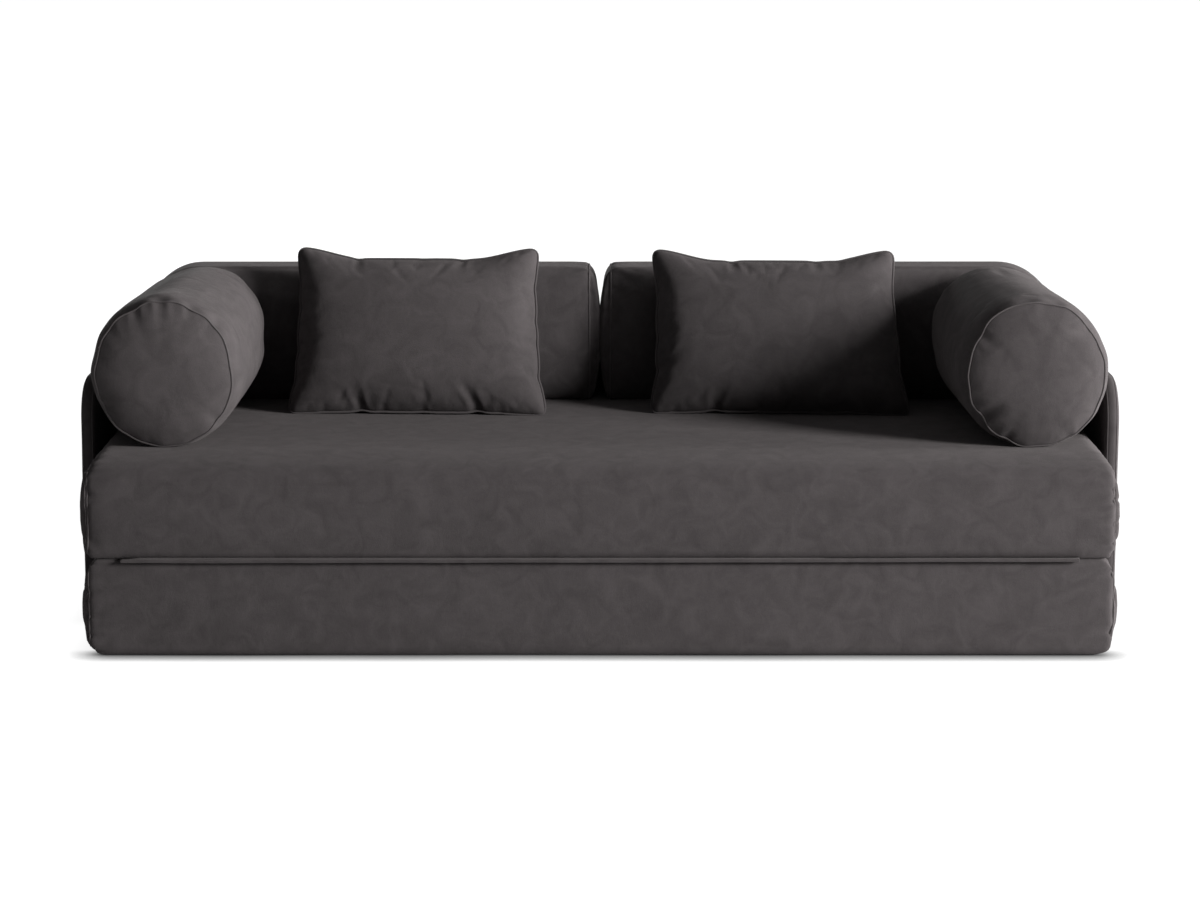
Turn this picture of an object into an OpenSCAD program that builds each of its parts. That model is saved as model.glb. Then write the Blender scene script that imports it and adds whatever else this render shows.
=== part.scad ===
// Fold-out sofa bed: two foam slabs inside a low padded shell, with loose back cushions,
// bolsters and throw pillows. The front faces -Y and the floor is at zero height.

/* [Slabs] */
// Width of the base slab and the seat slab
slab_w = 2000; // [1660:10:2400]
// Depth of both slabs from front to back
slab_d = 900; // [800:10:1000]
// Thickness of each slab
slab_h = 190; // [150:5:230]
// Radius of the upright corners of the slabs
slab_corner_r = 45; // [30:1:70]
// How far the seat's top surface falls towards its edges
seat_crown = 44; // [30:1:60]
// How far in from the edges the fall of the seat's top surface starts
seat_crown_reach = 140; // [100:5:180]
// Height of the tight rounding along the other edges of the slabs
edge_fall = 24; // [16:1:32]
// How far in from the side the tight rounding reaches
edge_reach = 16; // [10:1:22]
// How much smaller than its cover each foam block is, on every side
core_inset = 26; // [20:1:40]

/* [Fabric hinge] */
// Distance from the sides of the slabs to the ends of the fabric hinge
band_inset = 80; // [60:5:300]
// Radius of the rolled bead that the seat slab turns about
bead_r = 5; // [3:0.5:7]
// Depth of the sewn flanges behind the bead
flange_d = 12; // [8:1:14]

/* [Shell] */
// Thickness of the plywood boards in the shell
board_t = 18; // [12:1:24]
// Thickness of the padding and cover on each face of a board
pad_t = 5; // [3:1:9]
// Gap between the slabs and each side panel
side_gap = 8; // [6:1:20]
// Height of the shell above the floor
shell_top = 492; // [440:1:510]
// Depth from the front of the slabs to the front edge of the side panels
side_set_back = 298; // [250:1:400]
// Radius of the upper front corner of the side panels
side_corner_r = 85; // [50:1:120]
// Height of the plastic glides under the shell
glide_h = 5; // [3:1:8]
// Radius of each glide
glide_r = 11; // [8:0.5:13]
// Thickness of each half of the hook-and-loop tape
tape_t = 2; // [1.5:0.5:4]
// Height of the hook-and-loop tape
tape_h = 50; // [30:1:60]
// Distance from the sides of the slabs to the ends of the hook-and-loop tape
tape_inset = 300; // [250:10:600]

/* [Corner brackets] */
// Length of each leg of a bracket
bracket_leg = 60; // [50:1:80]
// Height of a bracket
bracket_h = 40; // [30:1:60]
// Thickness of a bracket
bracket_t = 2.5; // [2:0.1:3]
// Diameter of a bracket screw
screw_d = 4; // [3:0.5:5]
// Diameter of a bracket screw's head
screw_head_d = 8; // [7:0.5:10]
// Depth of the countersunk head
screw_head_h = 2; // [1:0.1:2]
// Length of a bracket screw
screw_l = 19; // [16:1:24]

/* [Back cushions] */
// Distance from the sides of the slabs to the outer ends of the back cushions
back_end_inset = 22; // [10:1:60]
// Height of each back cushion above the seat
back_h = 280; // [240:1:320]
// Thickness of each back cushion between its faces
back_t = 172; // [120:1:180]
// Gap between the two back cushions
back_gap = 12; // [6:1:20]
// How far the front face of a back cushion swells past its seams
back_crown = 18; // [10:1:28]
// How far the boxing of a back cushion swells past its seams
boxing_swell = 11; // [6:1:16]
// Radius of the small corners of a back cushion
back_corner_r = 34; // [20:1:50]
// Radius of the outer upper corner of a back cushion
back_outer_r = 120; // [60:1:130]

/* [Bolsters] */
// Length of each bolster between its end discs
bolster_l = 556; // [400:1:562]
// Radius of the piped end of a bolster
bolster_end_r = 139; // [110:1:145]
// How much the middle of a bolster swells past its ends
bolster_swell = 9; // [4:1:12]
// How far from the end the swelling reaches its full size
bolster_shoulder = 80; // [50:1:120]
// How far the end discs swell
disc_crown = 10; // [4:1:16]
// Radius of the piping round the ends of a bolster
piping_r = 3.5; // [2:0.5:5]
// Distance of the bolster axis from the side of the slabs
bolster_inset = 148; // [146:1:200]
// Radius of the foam roll inside a bolster
roll_r = 124; // [90:1:128]

/* [Throw pillows] */
// Width of a throw pillow from corner to corner
pillow_w = 530; // [400:1:600]
// Height of a throw pillow from corner to corner
pillow_h = 352; // [280:1:420]
// Thickness of a throw pillow at its middle
pillow_t = 150; // [100:1:170]
// Thickness of the seam round a throw pillow
pillow_seam_t = 8; // [6:0.5:12]
// How far the upper edge of a pillow is drawn in
pull_top = 24; // [10:1:32]
// How far the lower edge of a pillow is drawn in
pull_bottom = 5; // [2:1:12]
// How far the side edges of a pillow are drawn in
pull_side = 10; // [4:1:20]
// Lean of the pillows from upright, in degrees
pillow_lean = 20; // [10:1:28]
// Share of the free room beside a pillow that lies towards the middle of the sofa
pillow_place_share = 0.64; // [0.4:0.02:0.9]
// Turn of the pillows about the upright, in degrees
pillow_turn = 3; // [0:0.5:6]

/* [Zips] */
// Width of the zip tape
zip_w = 24; // [16:1:30]
// Thickness of the zip tape
zip_t = 1.6; // [1:0.1:2.5]
// Width of the row of teeth
teeth_w = 5; // [3:0.5:7]
// Height of the teeth above the tape
teeth_h = 0.8; // [0.4:0.1:1.2]
// Distance from the sides of the slabs to the ends of their zips
slab_zip_inset = 400; // [300:10:600]
// Distance from the ends of a back cushion to the ends of its zip
back_zip_inset = 186; // [150:2:300]
// Distance from the ends of a bolster to the ends of its zip
bolster_zip_inset = 148; // [140:2:180]
// Length of a zip's pull tab
tab_l = 22; // [14:1:30]
// Turn of a bolster's zip down from its outer flank, in degrees
bolster_zip_turn = 35; // [20:1:50]

/* [Hidden] */

fabric = [0.29, 0.27, 0.275];
fabric_dark = [0.22, 0.205, 0.21];
foam = [0.93, 0.9, 0.78];
plywood = [0.78, 0.64, 0.46];
steel = [0.55, 0.56, 0.58];
plastic = [0.12, 0.12, 0.13];

$fn = 96;
// Room between soft pieces that rest on each other and move apart
rest_gap = 0.3;
// Room round a piece that is closed in or let in
fit = 0.2;
// Overrun of a cut past the face that it opens
over = 1;
// Smallest radius that an inner ring of a form keeps
least_r = 3;
// Points in each corner and along each side of a form's ring
corner_steps = 4;
side_steps = 3;

// Heights and depths that the pieces share, measured from the front plane of the slabs
joint_z = slab_h;
seat_z = 2 * slab_h;
panel_t = board_t + 2 * pad_t;
shell_gap = 2 * tape_t;
shell_in_x = slab_w / 2 + side_gap;
back_panel_y = slab_d + shell_gap;
shell_rear_y = back_panel_y + panel_t;
hinge_y = -rest_gap;
y_front = -(shell_rear_y + hinge_y - bead_r) / 2;
back_front_y = slab_d - back_t;
bolster_full_r = bolster_end_r + bolster_swell;

// Lengths and places that follow the width of the slabs and the length of the cushions
band_w = slab_w - 2 * band_inset;
tape_w = slab_w - 2 * tape_inset;
back_w = slab_w / 2 - back_gap / 2 - back_end_inset;
bolster_x = slab_w / 2 - bolster_inset;
pillow_x = pillow_w / 2 + pillow_place_share * (bolster_x - bolster_full_r - pillow_w);
slab_zip_l = slab_w - 2 * slab_zip_inset;
back_zip_l = back_w - 2 * back_zip_inset;
bolster_zip_l = bolster_l - 2 * bolster_zip_inset;

// Profiles as shares: how far in from the outline, then how far the surface has fallen
crown_shares = [[0, 1], [0.02, 0.66], [0.07, 0.42], [0.17, 0.25], [0.35, 0.13], [0.64, 0.04], [1, 0]];
edge_shares = [[0, 1], [0.16, 0.5], [0.5, 0.15], [1, 0]];
face_shares = [[1, 0], [0.62, 0.4], [0.3, 0.72], [0.1, 0.92], [0, 1]];
boxing_shares = [[1 / 3, 0.2], [0, 0.4], [0, 0.6], [1 / 3, 0.8]];
swell_shares = [[0, 0], [0.08, 0.36], [0.3, 0.7], [0.6, 0.92], [1, 1]];
disc_shares = [[0, 1], [0.35, 0.9], [0.65, 0.62], [0.86, 0.3], [1, 0]];

function last(list) = list[len(list) - 1];
function sides(i) = [1, -1, -1, 1][i % 4];
function ends(i) = [1, 1, -1, -1][i % 4];
function ray(a) = [cos(a), sin(a)];
function reversed(list) = [for (i = [len(list) - 1 : -1 : 0]) list[i]];

// Centre of the arc at corner i of a rounded rectangle
function arc_centre(w, h, radii, i) =
    [sides(i) * (w / 2 - radii[i % 4]), ends(i) * (h / 2 - radii[i % 4])];

// Rounded rectangle with its own radius at each corner
function ring_outline(w, h, radii) = [
    for (i = [0 : 3])
        let (quarter = 360 / 4, here = arc_centre(w, h, radii, i),
            out = ray(quarter * (i + 1)),
            from = here + radii[i] * out,
            to = arc_centre(w, h, radii, i + 1) + radii[(i + 1) % 4] * out)
        for (k = [0 : corner_steps + side_steps])
            k <= corner_steps
                ? here + radii[i] * ray(quarter * (i + k / corner_steps))
                : from + (to - from) * (k - corner_steps) / (side_steps + 1)
];

// Closed form through a stack of rings, each an inset and a height, lowest first
module ring_form(w, h, radii, rings) {
    outlines = [for (r = rings) ring_outline(w - 2 * r[0], h - 2 * r[0],
        [for (q = radii) max(q - r[0], least_r)])];
    n = len(outlines[0]);
    points = concat(
        [[0, 0, rings[0][1]], [0, 0, last(rings)[1]]],
        [for (k = [0 : len(rings) - 1]) for (p = outlines[k]) [p.x, p.y, rings[k][1]]]);
    function at(k, i) = 2 + k * n + i % n;
    faces = concat(
        [for (i = [0 : n - 1]) [0, at(0, i), at(0, i + 1)]],
        [for (i = [0 : n - 1]) [1, at(len(rings) - 1, i + 1), at(len(rings) - 1, i)]],
        [for (k = [0 : len(rings) - 2]) for (i = [0 : n - 1])
            [at(k, i), at(k + 1, i), at(k + 1, i + 1)]],
        [for (k = [0 : len(rings) - 2]) for (i = [0 : n - 1])
            [at(k, i), at(k + 1, i + 1), at(k, i + 1)]]);
    polyhedron(points, faces);
}

// Everything is drawn from the front plane of the slabs and then centred
module in_place() {
    translate([0, y_front, 0]) children();
}

// Box between two corners
module span_box(low, high) {
    translate(low) cube(high - low);
}

// Zip lying in the XY plane with its face up: tape, teeth, slider and pull tab
module zip(length) {
    slider_w = 2 * teeth_w;
    translate([-length / 2, -zip_w / 2, 0]) cube([length, zip_w, zip_t]);
    translate([-length / 2 + zip_w, -teeth_w / 2, zip_t]) cube([length - 2 * zip_w, teeth_w, teeth_h]);
    translate([length / 2 - zip_w - slider_w, -slider_w / 2, zip_t]) cube([slider_w, slider_w, zip_t]);
    translate([length / 2 - zip_w - slider_w - tab_l, -teeth_w / 2, zip_t + teeth_h + fit])
        cube([tab_l + slider_w / 2, teeth_w, zip_t - teeth_h]);
}

// Pocket that a zip of the same length lies in, open upwards
module zip_pocket(length) {
    translate([-length / 2 - fit, -zip_w / 2 - fit, 0])
        cube([length + 2 * fit, zip_w + 2 * fit, 2 * zip_t + over]);
}

// Place of a zip in the rear face of a slab whose underside is at z
module on_slab_rear(z) {
    translate([0, slab_d - 2 * zip_t, z + slab_h / 2 + zip_w]) rotate([-90, 0, 0]) children();
}

// One slab: its rings run from the underside to the top
module slab_form(z, rings) {
    corner_radii = [for (i = [0 : 3]) slab_corner_r];
    translate([0, slab_d / 2, z]) ring_form(slab_w, slab_d, corner_radii, rings);
}

module slab_block(z, room) {
    block_w = slab_w - 2 * core_inset;
    block_d = slab_d - 2 * core_inset;
    span_box([-block_w / 2 - room, core_inset - room, z + core_inset - room],
        [block_w / 2 + room, core_inset + block_d + room, z + slab_h - core_inset + room]);
}

function edge_rings_up() = [for (s = reversed(edge_shares)) [s[0] * edge_reach, s[1] * edge_fall]];
function edge_rings_top(z) = [for (s = edge_shares) [s[0] * edge_reach, z - s[1] * edge_fall]];
function crown_rings_top(z) =
    [for (s = crown_shares) [s[0] * seat_crown_reach, z - s[1] * seat_crown]];

module base_core() {
    color(foam) in_place() slab_block(0, 0);
}

module base_cover() {
    color(fabric) in_place() difference() {
        slab_form(0, concat(edge_rings_up(), edge_rings_top(slab_h - rest_gap / 2)));
        slab_block(0, fit);
        on_slab_rear(0) zip_pocket(slab_zip_l);
    }
}

module base_zip() {
    color(plastic) in_place() on_slab_rear(0) zip(slab_zip_l);
}

module seat_core() {
    color(foam) in_place() slab_block(slab_h, 0);
}

module seat_cover() {
    color(fabric) in_place() difference() {
        slab_form(slab_h, concat(
            [for (r = edge_rings_up()) [r[0], max(r[1], rest_gap / 2)]],
            crown_rings_top(slab_h)));
        slab_block(slab_h, fit);
        on_slab_rear(slab_h) zip_pocket(slab_zip_l);
    }
}

module seat_zip() {
    color(plastic) in_place() on_slab_rear(slab_h) zip(slab_zip_l);
}

// Outline of a sewn flange in the notch between the slabs, from the bead back to the seam,
// drawn with the bead at the origin and the notch's lower half below it
function flange_outline(inner_r) =
    let (drop = rest_gap / 2, low = edge_shares[2][1] * edge_fall)
    [[inner_r, -drop], [flange_d, -drop], [flange_d, -drop - fit], [edge_shares[2][0] * edge_reach, -low],
        [inner_r, -low]];

module along_band() {
    translate([band_w / 2, hinge_y, joint_z]) rotate([90, 0, -90]) linear_extrude(band_w)
        mirror([1, 0]) children();
}

module hinge_band() {
    color(fabric_dark) in_place() along_band() {
        circle(r = bead_r);
        polygon(flange_outline(bead_r - over));
    }
}

module hinge_flange() {
    color(fabric_dark) in_place() along_band() mirror([0, 1]) difference() {
        polygon(flange_outline(bead_r - over));
        circle(r = bead_r + rest_gap);
    }
}

// Outline of a side panel seen from the side, drawn in by an inset
module side_outline(inset) {
    front = side_set_back + inset;
    low = glide_h + inset;
    r = side_corner_r - inset;
    rear = shell_rear_y - inset;
    top = shell_top - inset;
    translate([front, low]) square([rear - front, top - r - low]);
    translate([front + r, low]) square([rear - front - r, top - low]);
    translate([front + r, top - r]) circle(r);
}

// Plate with the side panel's outline, standing at x from the middle
module side_plate(x, thickness, inset) {
    translate([x, 0, 0]) rotate([90, 0, 90]) linear_extrude(thickness) side_outline(inset);
}

// Draws a piece of the right-hand side, or its mirror image on the left
module on_side(side) {
    mirror([side < 0 ? 1 : 0, 0, 0]) children();
}

module side_board(side) {
    color(plywood) in_place() on_side(side) difference() {
        side_plate(shell_in_x + pad_t, board_t, pad_t);
        side_screw_holes(screw_d / 2);
    }
}

module side_cover(side) {
    color(fabric) in_place() on_side(side) difference() {
        side_plate(shell_in_x, panel_t, 0);
        side_plate(shell_in_x + pad_t - fit, board_t + 2 * fit, pad_t - fit);
        side_screw_holes(screw_d / 2 + fit);
    }
}

module side_board_left() { side_board(-1); }
module side_board_right() { side_board(1); }
module side_cover_left() { side_cover(-1); }
module side_cover_right() { side_cover(1); }

module back_board() {
    color(plywood) in_place() difference() {
        span_box([-shell_in_x + pad_t, back_panel_y + pad_t, glide_h + pad_t],
            [shell_in_x - pad_t, back_panel_y + pad_t + board_t, shell_top - pad_t]);
        for (side = [-1, 1]) on_side(side) back_screw_holes(screw_d / 2);
    }
}

module back_panel_cover() {
    room = pad_t - fit;
    color(fabric) in_place() difference() {
        span_box([-shell_in_x, back_panel_y, glide_h], [shell_in_x, shell_rear_y, shell_top]);
        span_box([-shell_in_x + room, back_panel_y + room, glide_h + room],
            [shell_in_x - room, shell_rear_y - room, shell_top - room]);
        for (side = [-1, 1]) on_side(side) back_screw_holes(screw_d / 2 + fit);
    }
}

// Heights of the two brackets in each corner and places of the two screws on each leg
bracket_rise_shares = [0.2, 0.68];
screw_place_shares = [0.4, 0.8];
function bracket_zs() = [for (s = bracket_rise_shares) s * shell_top];

// Draws a screw or its hole at each place on the leg along the side panel
module side_screw_places() {
    for (z = bracket_zs(), s = screw_place_shares)
        translate([shell_in_x - bracket_t, back_panel_y - s * bracket_leg, z + bracket_h / 2])
            rotate([0, 90, 0]) children();
}

// Draws a screw or its hole at each place on the leg along the back panel
module back_screw_places() {
    for (z = bracket_zs(), s = screw_place_shares)
        translate([shell_in_x - s * bracket_leg, back_panel_y - bracket_t, z + bracket_h / 2])
            rotate([-90, 0, 0]) children();
}

module side_screw_holes(r) {
    side_screw_places() cylinder(h = screw_l + fit, r = r);
}

module back_screw_holes(r) {
    back_screw_places() cylinder(h = screw_l + fit, r = r);
}

// Countersunk screw with its head's face at the origin, room being its clearance
module screw(room) {
    cylinder(h = screw_head_h, r1 = screw_head_d / 2 + room, r2 = screw_d / 2 + room);
    cylinder(h = screw_l, r = screw_d / 2 - fit + room);
}

module corner_brackets() {
    color(steel) in_place() for (side = [-1, 1]) on_side(side) difference() {
        for (z = bracket_zs()) {
            span_box([shell_in_x - bracket_t, back_panel_y - bracket_leg, z],
                [shell_in_x, back_panel_y, z + bracket_h]);
            span_box([shell_in_x - bracket_leg, back_panel_y - bracket_t, z],
                [shell_in_x, back_panel_y, z + bracket_h]);
        }
        side_screw_places() screw_seat();
        back_screw_places() screw_seat();
    }
}

// Countersunk hole through a bracket leg
module screw_seat() {
    translate([0, 0, -over]) cylinder(h = over, r = screw_head_d / 2 + fit);
    cylinder(h = screw_head_h, r1 = screw_head_d / 2 + fit, r2 = screw_d / 2 + fit);
    cylinder(h = bracket_t + over, r = screw_d / 2 + fit);
}

module bracket_screws() {
    color(steel) in_place() for (side = [-1, 1]) on_side(side) {
        side_screw_places() screw(0);
        back_screw_places() screw(0);
    }
}

module glides() {
    side_x = shell_in_x + panel_t / 2;
    first_y = side_set_back + 2 * glide_r;
    last_y = shell_rear_y - panel_t / 2;
    color(plastic) in_place() {
        for (side = [-1, 1], y = [first_y, last_y]) translate([side * side_x, y, 0])
            cylinder(h = glide_h, r = glide_r);
        for (side = [-1, 1]) translate([side * shell_in_x / 2, last_y, 0])
            cylinder(h = glide_h, r = glide_r);
    }
}

// Hook-and-loop tape between the base slab and the back panel
tape_z_share = 0.2;
module tape(y) {
    low = tape_z_share * slab_h;
    in_place() span_box([-tape_w / 2, y, low], [tape_w / 2, y + tape_t, low + tape_h]);
}

module hook_tape() {
    color(plastic) tape(back_panel_y - tape_t);
}

module loop_tape() {
    color(fabric_dark) tape(slab_d);
}

// How flat the rear face of a back cushion is, how far its faces round off, where its zip is
rear_crown_share = 1 / 3;
face_reach_share = 1 / 3;
back_zip_drop_share = 1 / 8;
rear_crown = rear_crown_share * back_crown;

// Rings of a back cushion from its rear face to its front face, about its middle thickness
function cushion_rings() =
    let (front_seam = back_t / 2 - back_crown, rear_seam = rear_crown - back_t / 2,
        reach = face_reach_share * back_h)
    concat(
        [for (s = face_shares) [boxing_swell + s[0] * reach, rear_seam - (1 - s[1]) * rear_crown]],
        [for (s = boxing_shares) [s[0] * boxing_swell, rear_seam + s[1] * (front_seam - rear_seam)]],
        [for (s = reversed(face_shares))
            [boxing_swell + s[0] * reach, front_seam + (1 - s[1]) * back_crown]]);

// Local frame of the right back cushion: width along X, height along Y, front along Z
module on_back_cushion() {
    translate([back_gap / 2 + back_w / 2, slab_d - back_t / 2, seat_z + rest_gap + back_h / 2])
        rotate([90, 0, 0]) children();
}

module cushion_block(room) {
    inset = core_inset + boxing_swell;
    block = [back_w - 2 * inset, back_h - 2 * inset, back_t - 2 * core_inset];
    corner = back_outer_r - inset;
    half = block / 2 + [room, room, room];
    translate([0, 0, -half.z]) linear_extrude(2 * half.z) difference() {
        square([2 * half.x, 2 * half.y], center = true);
        translate([half.x - corner / 2, half.y - corner / 2]) square(corner / 2 + over);
    }
}

// Place of a zip low in the rear face of a back cushion
module on_cushion_rear() {
    translate([0, -back_zip_drop_share * back_h, rear_crown - back_t / 2 + zip_t])
        rotate([180, 0, 0]) children();
}

module back_cushion_core(side) {
    color(foam) in_place() on_side(side) on_back_cushion() cushion_block(0);
}

module back_cushion_cover(side) {
    radii = [back_outer_r, back_corner_r, back_corner_r, back_corner_r];
    color(fabric) in_place() on_side(side) on_back_cushion() difference() {
        ring_form(back_w, back_h, radii, cushion_rings());
        cushion_block(fit);
        on_cushion_rear() zip_pocket(back_zip_l);
    }
}

module back_cushion_zip(side) {
    color(plastic) in_place() on_side(side) on_back_cushion() on_cushion_rear() zip(back_zip_l);
}

module back_cushion_core_left() { back_cushion_core(-1); }
module back_cushion_cover_left() { back_cushion_cover(-1); }
module back_cushion_zip_left() { back_cushion_zip(-1); }
module back_cushion_core_right() { back_cushion_core(1); }
module back_cushion_cover_right() { back_cushion_cover(1); }
module back_cushion_zip_right() { back_cushion_zip(1); }

// Half outline of a bolster from the middle of its far disc to its full radius, then mirrored
function bolster_half() =
    let (end = bolster_l / 2, ring_r = bolster_end_r - piping_r, notch = piping_r + fit)
    concat(
        [for (s = disc_shares) [s[0] * (ring_r - notch), end + s[1] * disc_crown]],
        [[ring_r - notch, end - piping_r - notch], [ring_r, end - 2 * piping_r - fit]],
        [for (s = swell_shares) [bolster_end_r + s[1] * bolster_swell,
            end - 2 * piping_r - fit - s[0] * bolster_shoulder]]);

bolster_outline = concat(bolster_half(),
    [for (p = reversed(bolster_half())) [p.x, -p.y]]);

// Local frame of the right bolster with its axis along Z, pointing to the rear
module on_bolster() {
    translate([bolster_x, back_front_y - rest_gap - disc_crown - bolster_l / 2,
        seat_z + rest_gap + bolster_end_r]) rotate([-90, 0, 0]) children();
}

// Place of the zip low on the outer flank of a bolster
module on_bolster_flank() {
    rotate([0, 0, bolster_zip_turn]) translate([bolster_full_r - 2 * zip_t, 0, 0])
        rotate([0, 90, 0]) children();
}

module bolster_roll(side) {
    color(foam) in_place() on_side(side) on_bolster()
        cylinder(h = bolster_l - 2 * core_inset, r = roll_r, center = true);
}

module bolster_cover(side) {
    reach = 2 * bolster_l;
    color(fabric) in_place() on_side(side) on_bolster() difference() {
        rotate_extrude() polygon(bolster_outline);
        cylinder(h = bolster_l - 2 * core_inset + 2 * fit, r = roll_r + fit, center = true);
        translate([-reach / 2, bolster_end_r, -reach / 2]) cube([reach, bolster_swell + over, reach]);
        on_bolster_flank() zip_pocket(bolster_zip_l);
    }
}

module bolster_piping(side) {
    color(fabric_dark) in_place() on_side(side) on_bolster() for (way = [-1, 1])
        translate([0, 0, way * (bolster_l / 2 - piping_r)]) rotate_extrude()
            translate([bolster_end_r - piping_r, 0]) circle(r = piping_r, $fn = 32);
}

module bolster_zip(side) {
    color(plastic) in_place() on_side(side) on_bolster() on_bolster_flank() zip(bolster_zip_l);
}

module bolster_roll_left() { bolster_roll(-1); }
module bolster_cover_left() { bolster_cover(-1); }
module bolster_piping_left() { bolster_piping(-1); }
module bolster_zip_left() { bolster_zip(-1); }
module bolster_roll_right() { bolster_roll(1); }
module bolster_cover_right() { bolster_cover(1); }
module bolster_piping_right() { bolster_piping(1); }
module bolster_zip_right() { bolster_zip(1); }

// Steps of a pillow's surface across and up, and of the plainer insert inside it
pillow_cells = [14, 12];
insert_cells = [8, 6];
// Fullness of a pillow: lower values fill out its corners
puff_power = 0.46;
// Size of the insert inside a pillow, by width, height and thickness
insert_shares = [0.86, 0.8, 0.86];

function spread(i, n) = sin(180 * i / n - 90);
function draw_in(u) = 1 - u * u;

// Point of a pillow's face at u and v from -1 to 1, on the front or the rear
function pillow_point(u, v, face, size, seam, pulls) = [
    u * size.x / 2 - sign(u) * u * u * pulls[0] * draw_in(v),
    v * size.y / 2 - (v > 0 ? pulls[1] : -pulls[2]) * v * v * draw_in(u),
    face * (seam / 2 + (size.z - seam) / 2 * pow(draw_in(u) * draw_in(v), puff_power))];

function pillow_points(size, seam, pulls, cells) = [
    for (face = [-1, 1], j = [0 : cells.y], i = [0 : cells.x])
        pillow_point(spread(i, cells.x), spread(j, cells.y), face, size, seam, pulls)];

// Stuffed knife-edge form with two faces and a thin seam between them
module pillow_form(size, seam, pulls, cells) {
    row = cells.x + 1;
    page = row * (cells.y + 1);
    function at(face, i, j) = face * page + j * row + i;
    bottom_run = [for (i = [0 : cells.x - 1]) [i, 0]];
    right_run = [for (j = [0 : cells.y - 1]) [cells.x, j]];
    top_run = [for (i = [cells.x : -1 : 1]) [i, cells.y]];
    left_run = [for (j = [cells.y : -1 : 1]) [0, j]];
    rim = concat(bottom_run, right_run, top_run, left_run);
    faces = concat(
        [for (i = [0 : cells.x - 1], j = [0 : cells.y - 1], half = [0, 1]) half == 0
            ? [at(1, i, j), at(1, i + 1, j + 1), at(1, i + 1, j)]
            : [at(1, i, j), at(1, i, j + 1), at(1, i + 1, j + 1)]],
        [for (i = [0 : cells.x - 1], j = [0 : cells.y - 1], half = [0, 1]) half == 0
            ? [at(0, i, j), at(0, i + 1, j), at(0, i + 1, j + 1)]
            : [at(0, i, j), at(0, i + 1, j + 1), at(0, i, j + 1)]],
        [for (k = [0 : len(rim) - 1], half = [0, 1])
            let (a = rim[k], b = rim[(k + 1) % len(rim)]) half == 0
            ? [at(0, a[0], a[1]), at(1, a[0], a[1]), at(1, b[0], b[1])]
            : [at(0, a[0], a[1]), at(1, b[0], b[1]), at(0, b[0], b[1])]]);
    polyhedron(pillow_points(size, seam, pulls, cells), faces);
}

pillow_size = [pillow_w, pillow_h, pillow_t];
pillow_pulls = [pull_side, pull_top, pull_bottom];
insert_size = [for (i = [0 : 2]) pillow_size[i] * insert_shares[i]];

function turned_x(p, a) = [p.x, p.y * cos(a) - p.z * sin(a), p.y * sin(a) + p.z * cos(a)];
function turned_z(p, a) = [p.x * cos(a) - p.y * sin(a), p.x * sin(a) + p.y * cos(a), p.z];

// The pillow's points once it leans and is turned, which give where it meets seat and cushion
upright = 90;
pillow_turned = [for (p = pillow_points(pillow_size, pillow_seam_t, pillow_pulls, pillow_cells))
    turned_z(turned_x(p, upright - pillow_lean), -pillow_turn)];
pillow_y = back_front_y - rest_gap - max([for (p = pillow_turned) p.y]);
pillow_z = seat_z + rest_gap - min([for (p = pillow_turned) p.z]);

module on_pillow(side) {
    translate([side * pillow_x, pillow_y, pillow_z]) rotate([upright - pillow_lean, 0, -pillow_turn])
        children();
}

module pillow_insert(side) {
    color(foam) in_place() on_pillow(side)
        pillow_form(insert_size, pillow_seam_t, [0, 0, 0], insert_cells);
}

module pillow_cover(side) {
    color(fabric) in_place() on_pillow(side) difference() {
        pillow_form(pillow_size, pillow_seam_t, pillow_pulls, pillow_cells);
        pillow_form([for (s = insert_size) s + 2 * fit], pillow_seam_t + 2 * fit, [0, 0, 0], insert_cells);
    }
}

module pillow_insert_left() { pillow_insert(-1); }
module pillow_cover_left() { pillow_cover(-1); }
module pillow_insert_right() { pillow_insert(1); }
module pillow_cover_right() { pillow_cover(1); }

base_core();
base_cover();
base_zip();
hinge_band();
back_board();
back_panel_cover();
side_board_left();
side_board_right();
side_cover_left();
side_cover_right();
corner_brackets();
bracket_screws();
glides();
hook_tape();
loop_tape();
seat_core();
seat_cover();
seat_zip();
hinge_flange();
back_cushion_core_left();
back_cushion_cover_left();
back_cushion_zip_left();
back_cushion_core_right();
back_cushion_cover_right();
back_cushion_zip_right();
bolster_roll_left();
bolster_cover_left();
bolster_piping_left();
bolster_zip_left();
bolster_roll_right();
bolster_cover_right();
bolster_piping_right();
bolster_zip_right();
pillow_insert_left();
pillow_cover_left();
pillow_insert_right();
pillow_cover_right();
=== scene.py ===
"""Looks of the fold-out sofa bed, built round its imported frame.

Velvet covers, piping, padded panels, cushions, bolsters and throw pillows are modelled over the
plain solids of the frame. Foam, boards, brackets, screws, tapes and zips keep their solids and get
a finish of their own. All lengths are in metres.
"""

import logging
import math
from collections.abc import Callable, Iterable, Sequence
from dataclasses import dataclass, field
from enum import Enum

import bmesh
import bpy
from bmesh.types import BMEdge, BMesh, BMVert
from bpy.types import Material, Node, NodeSocket, NodeTree, Object
from mathutils import Matrix, Vector, noise


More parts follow.
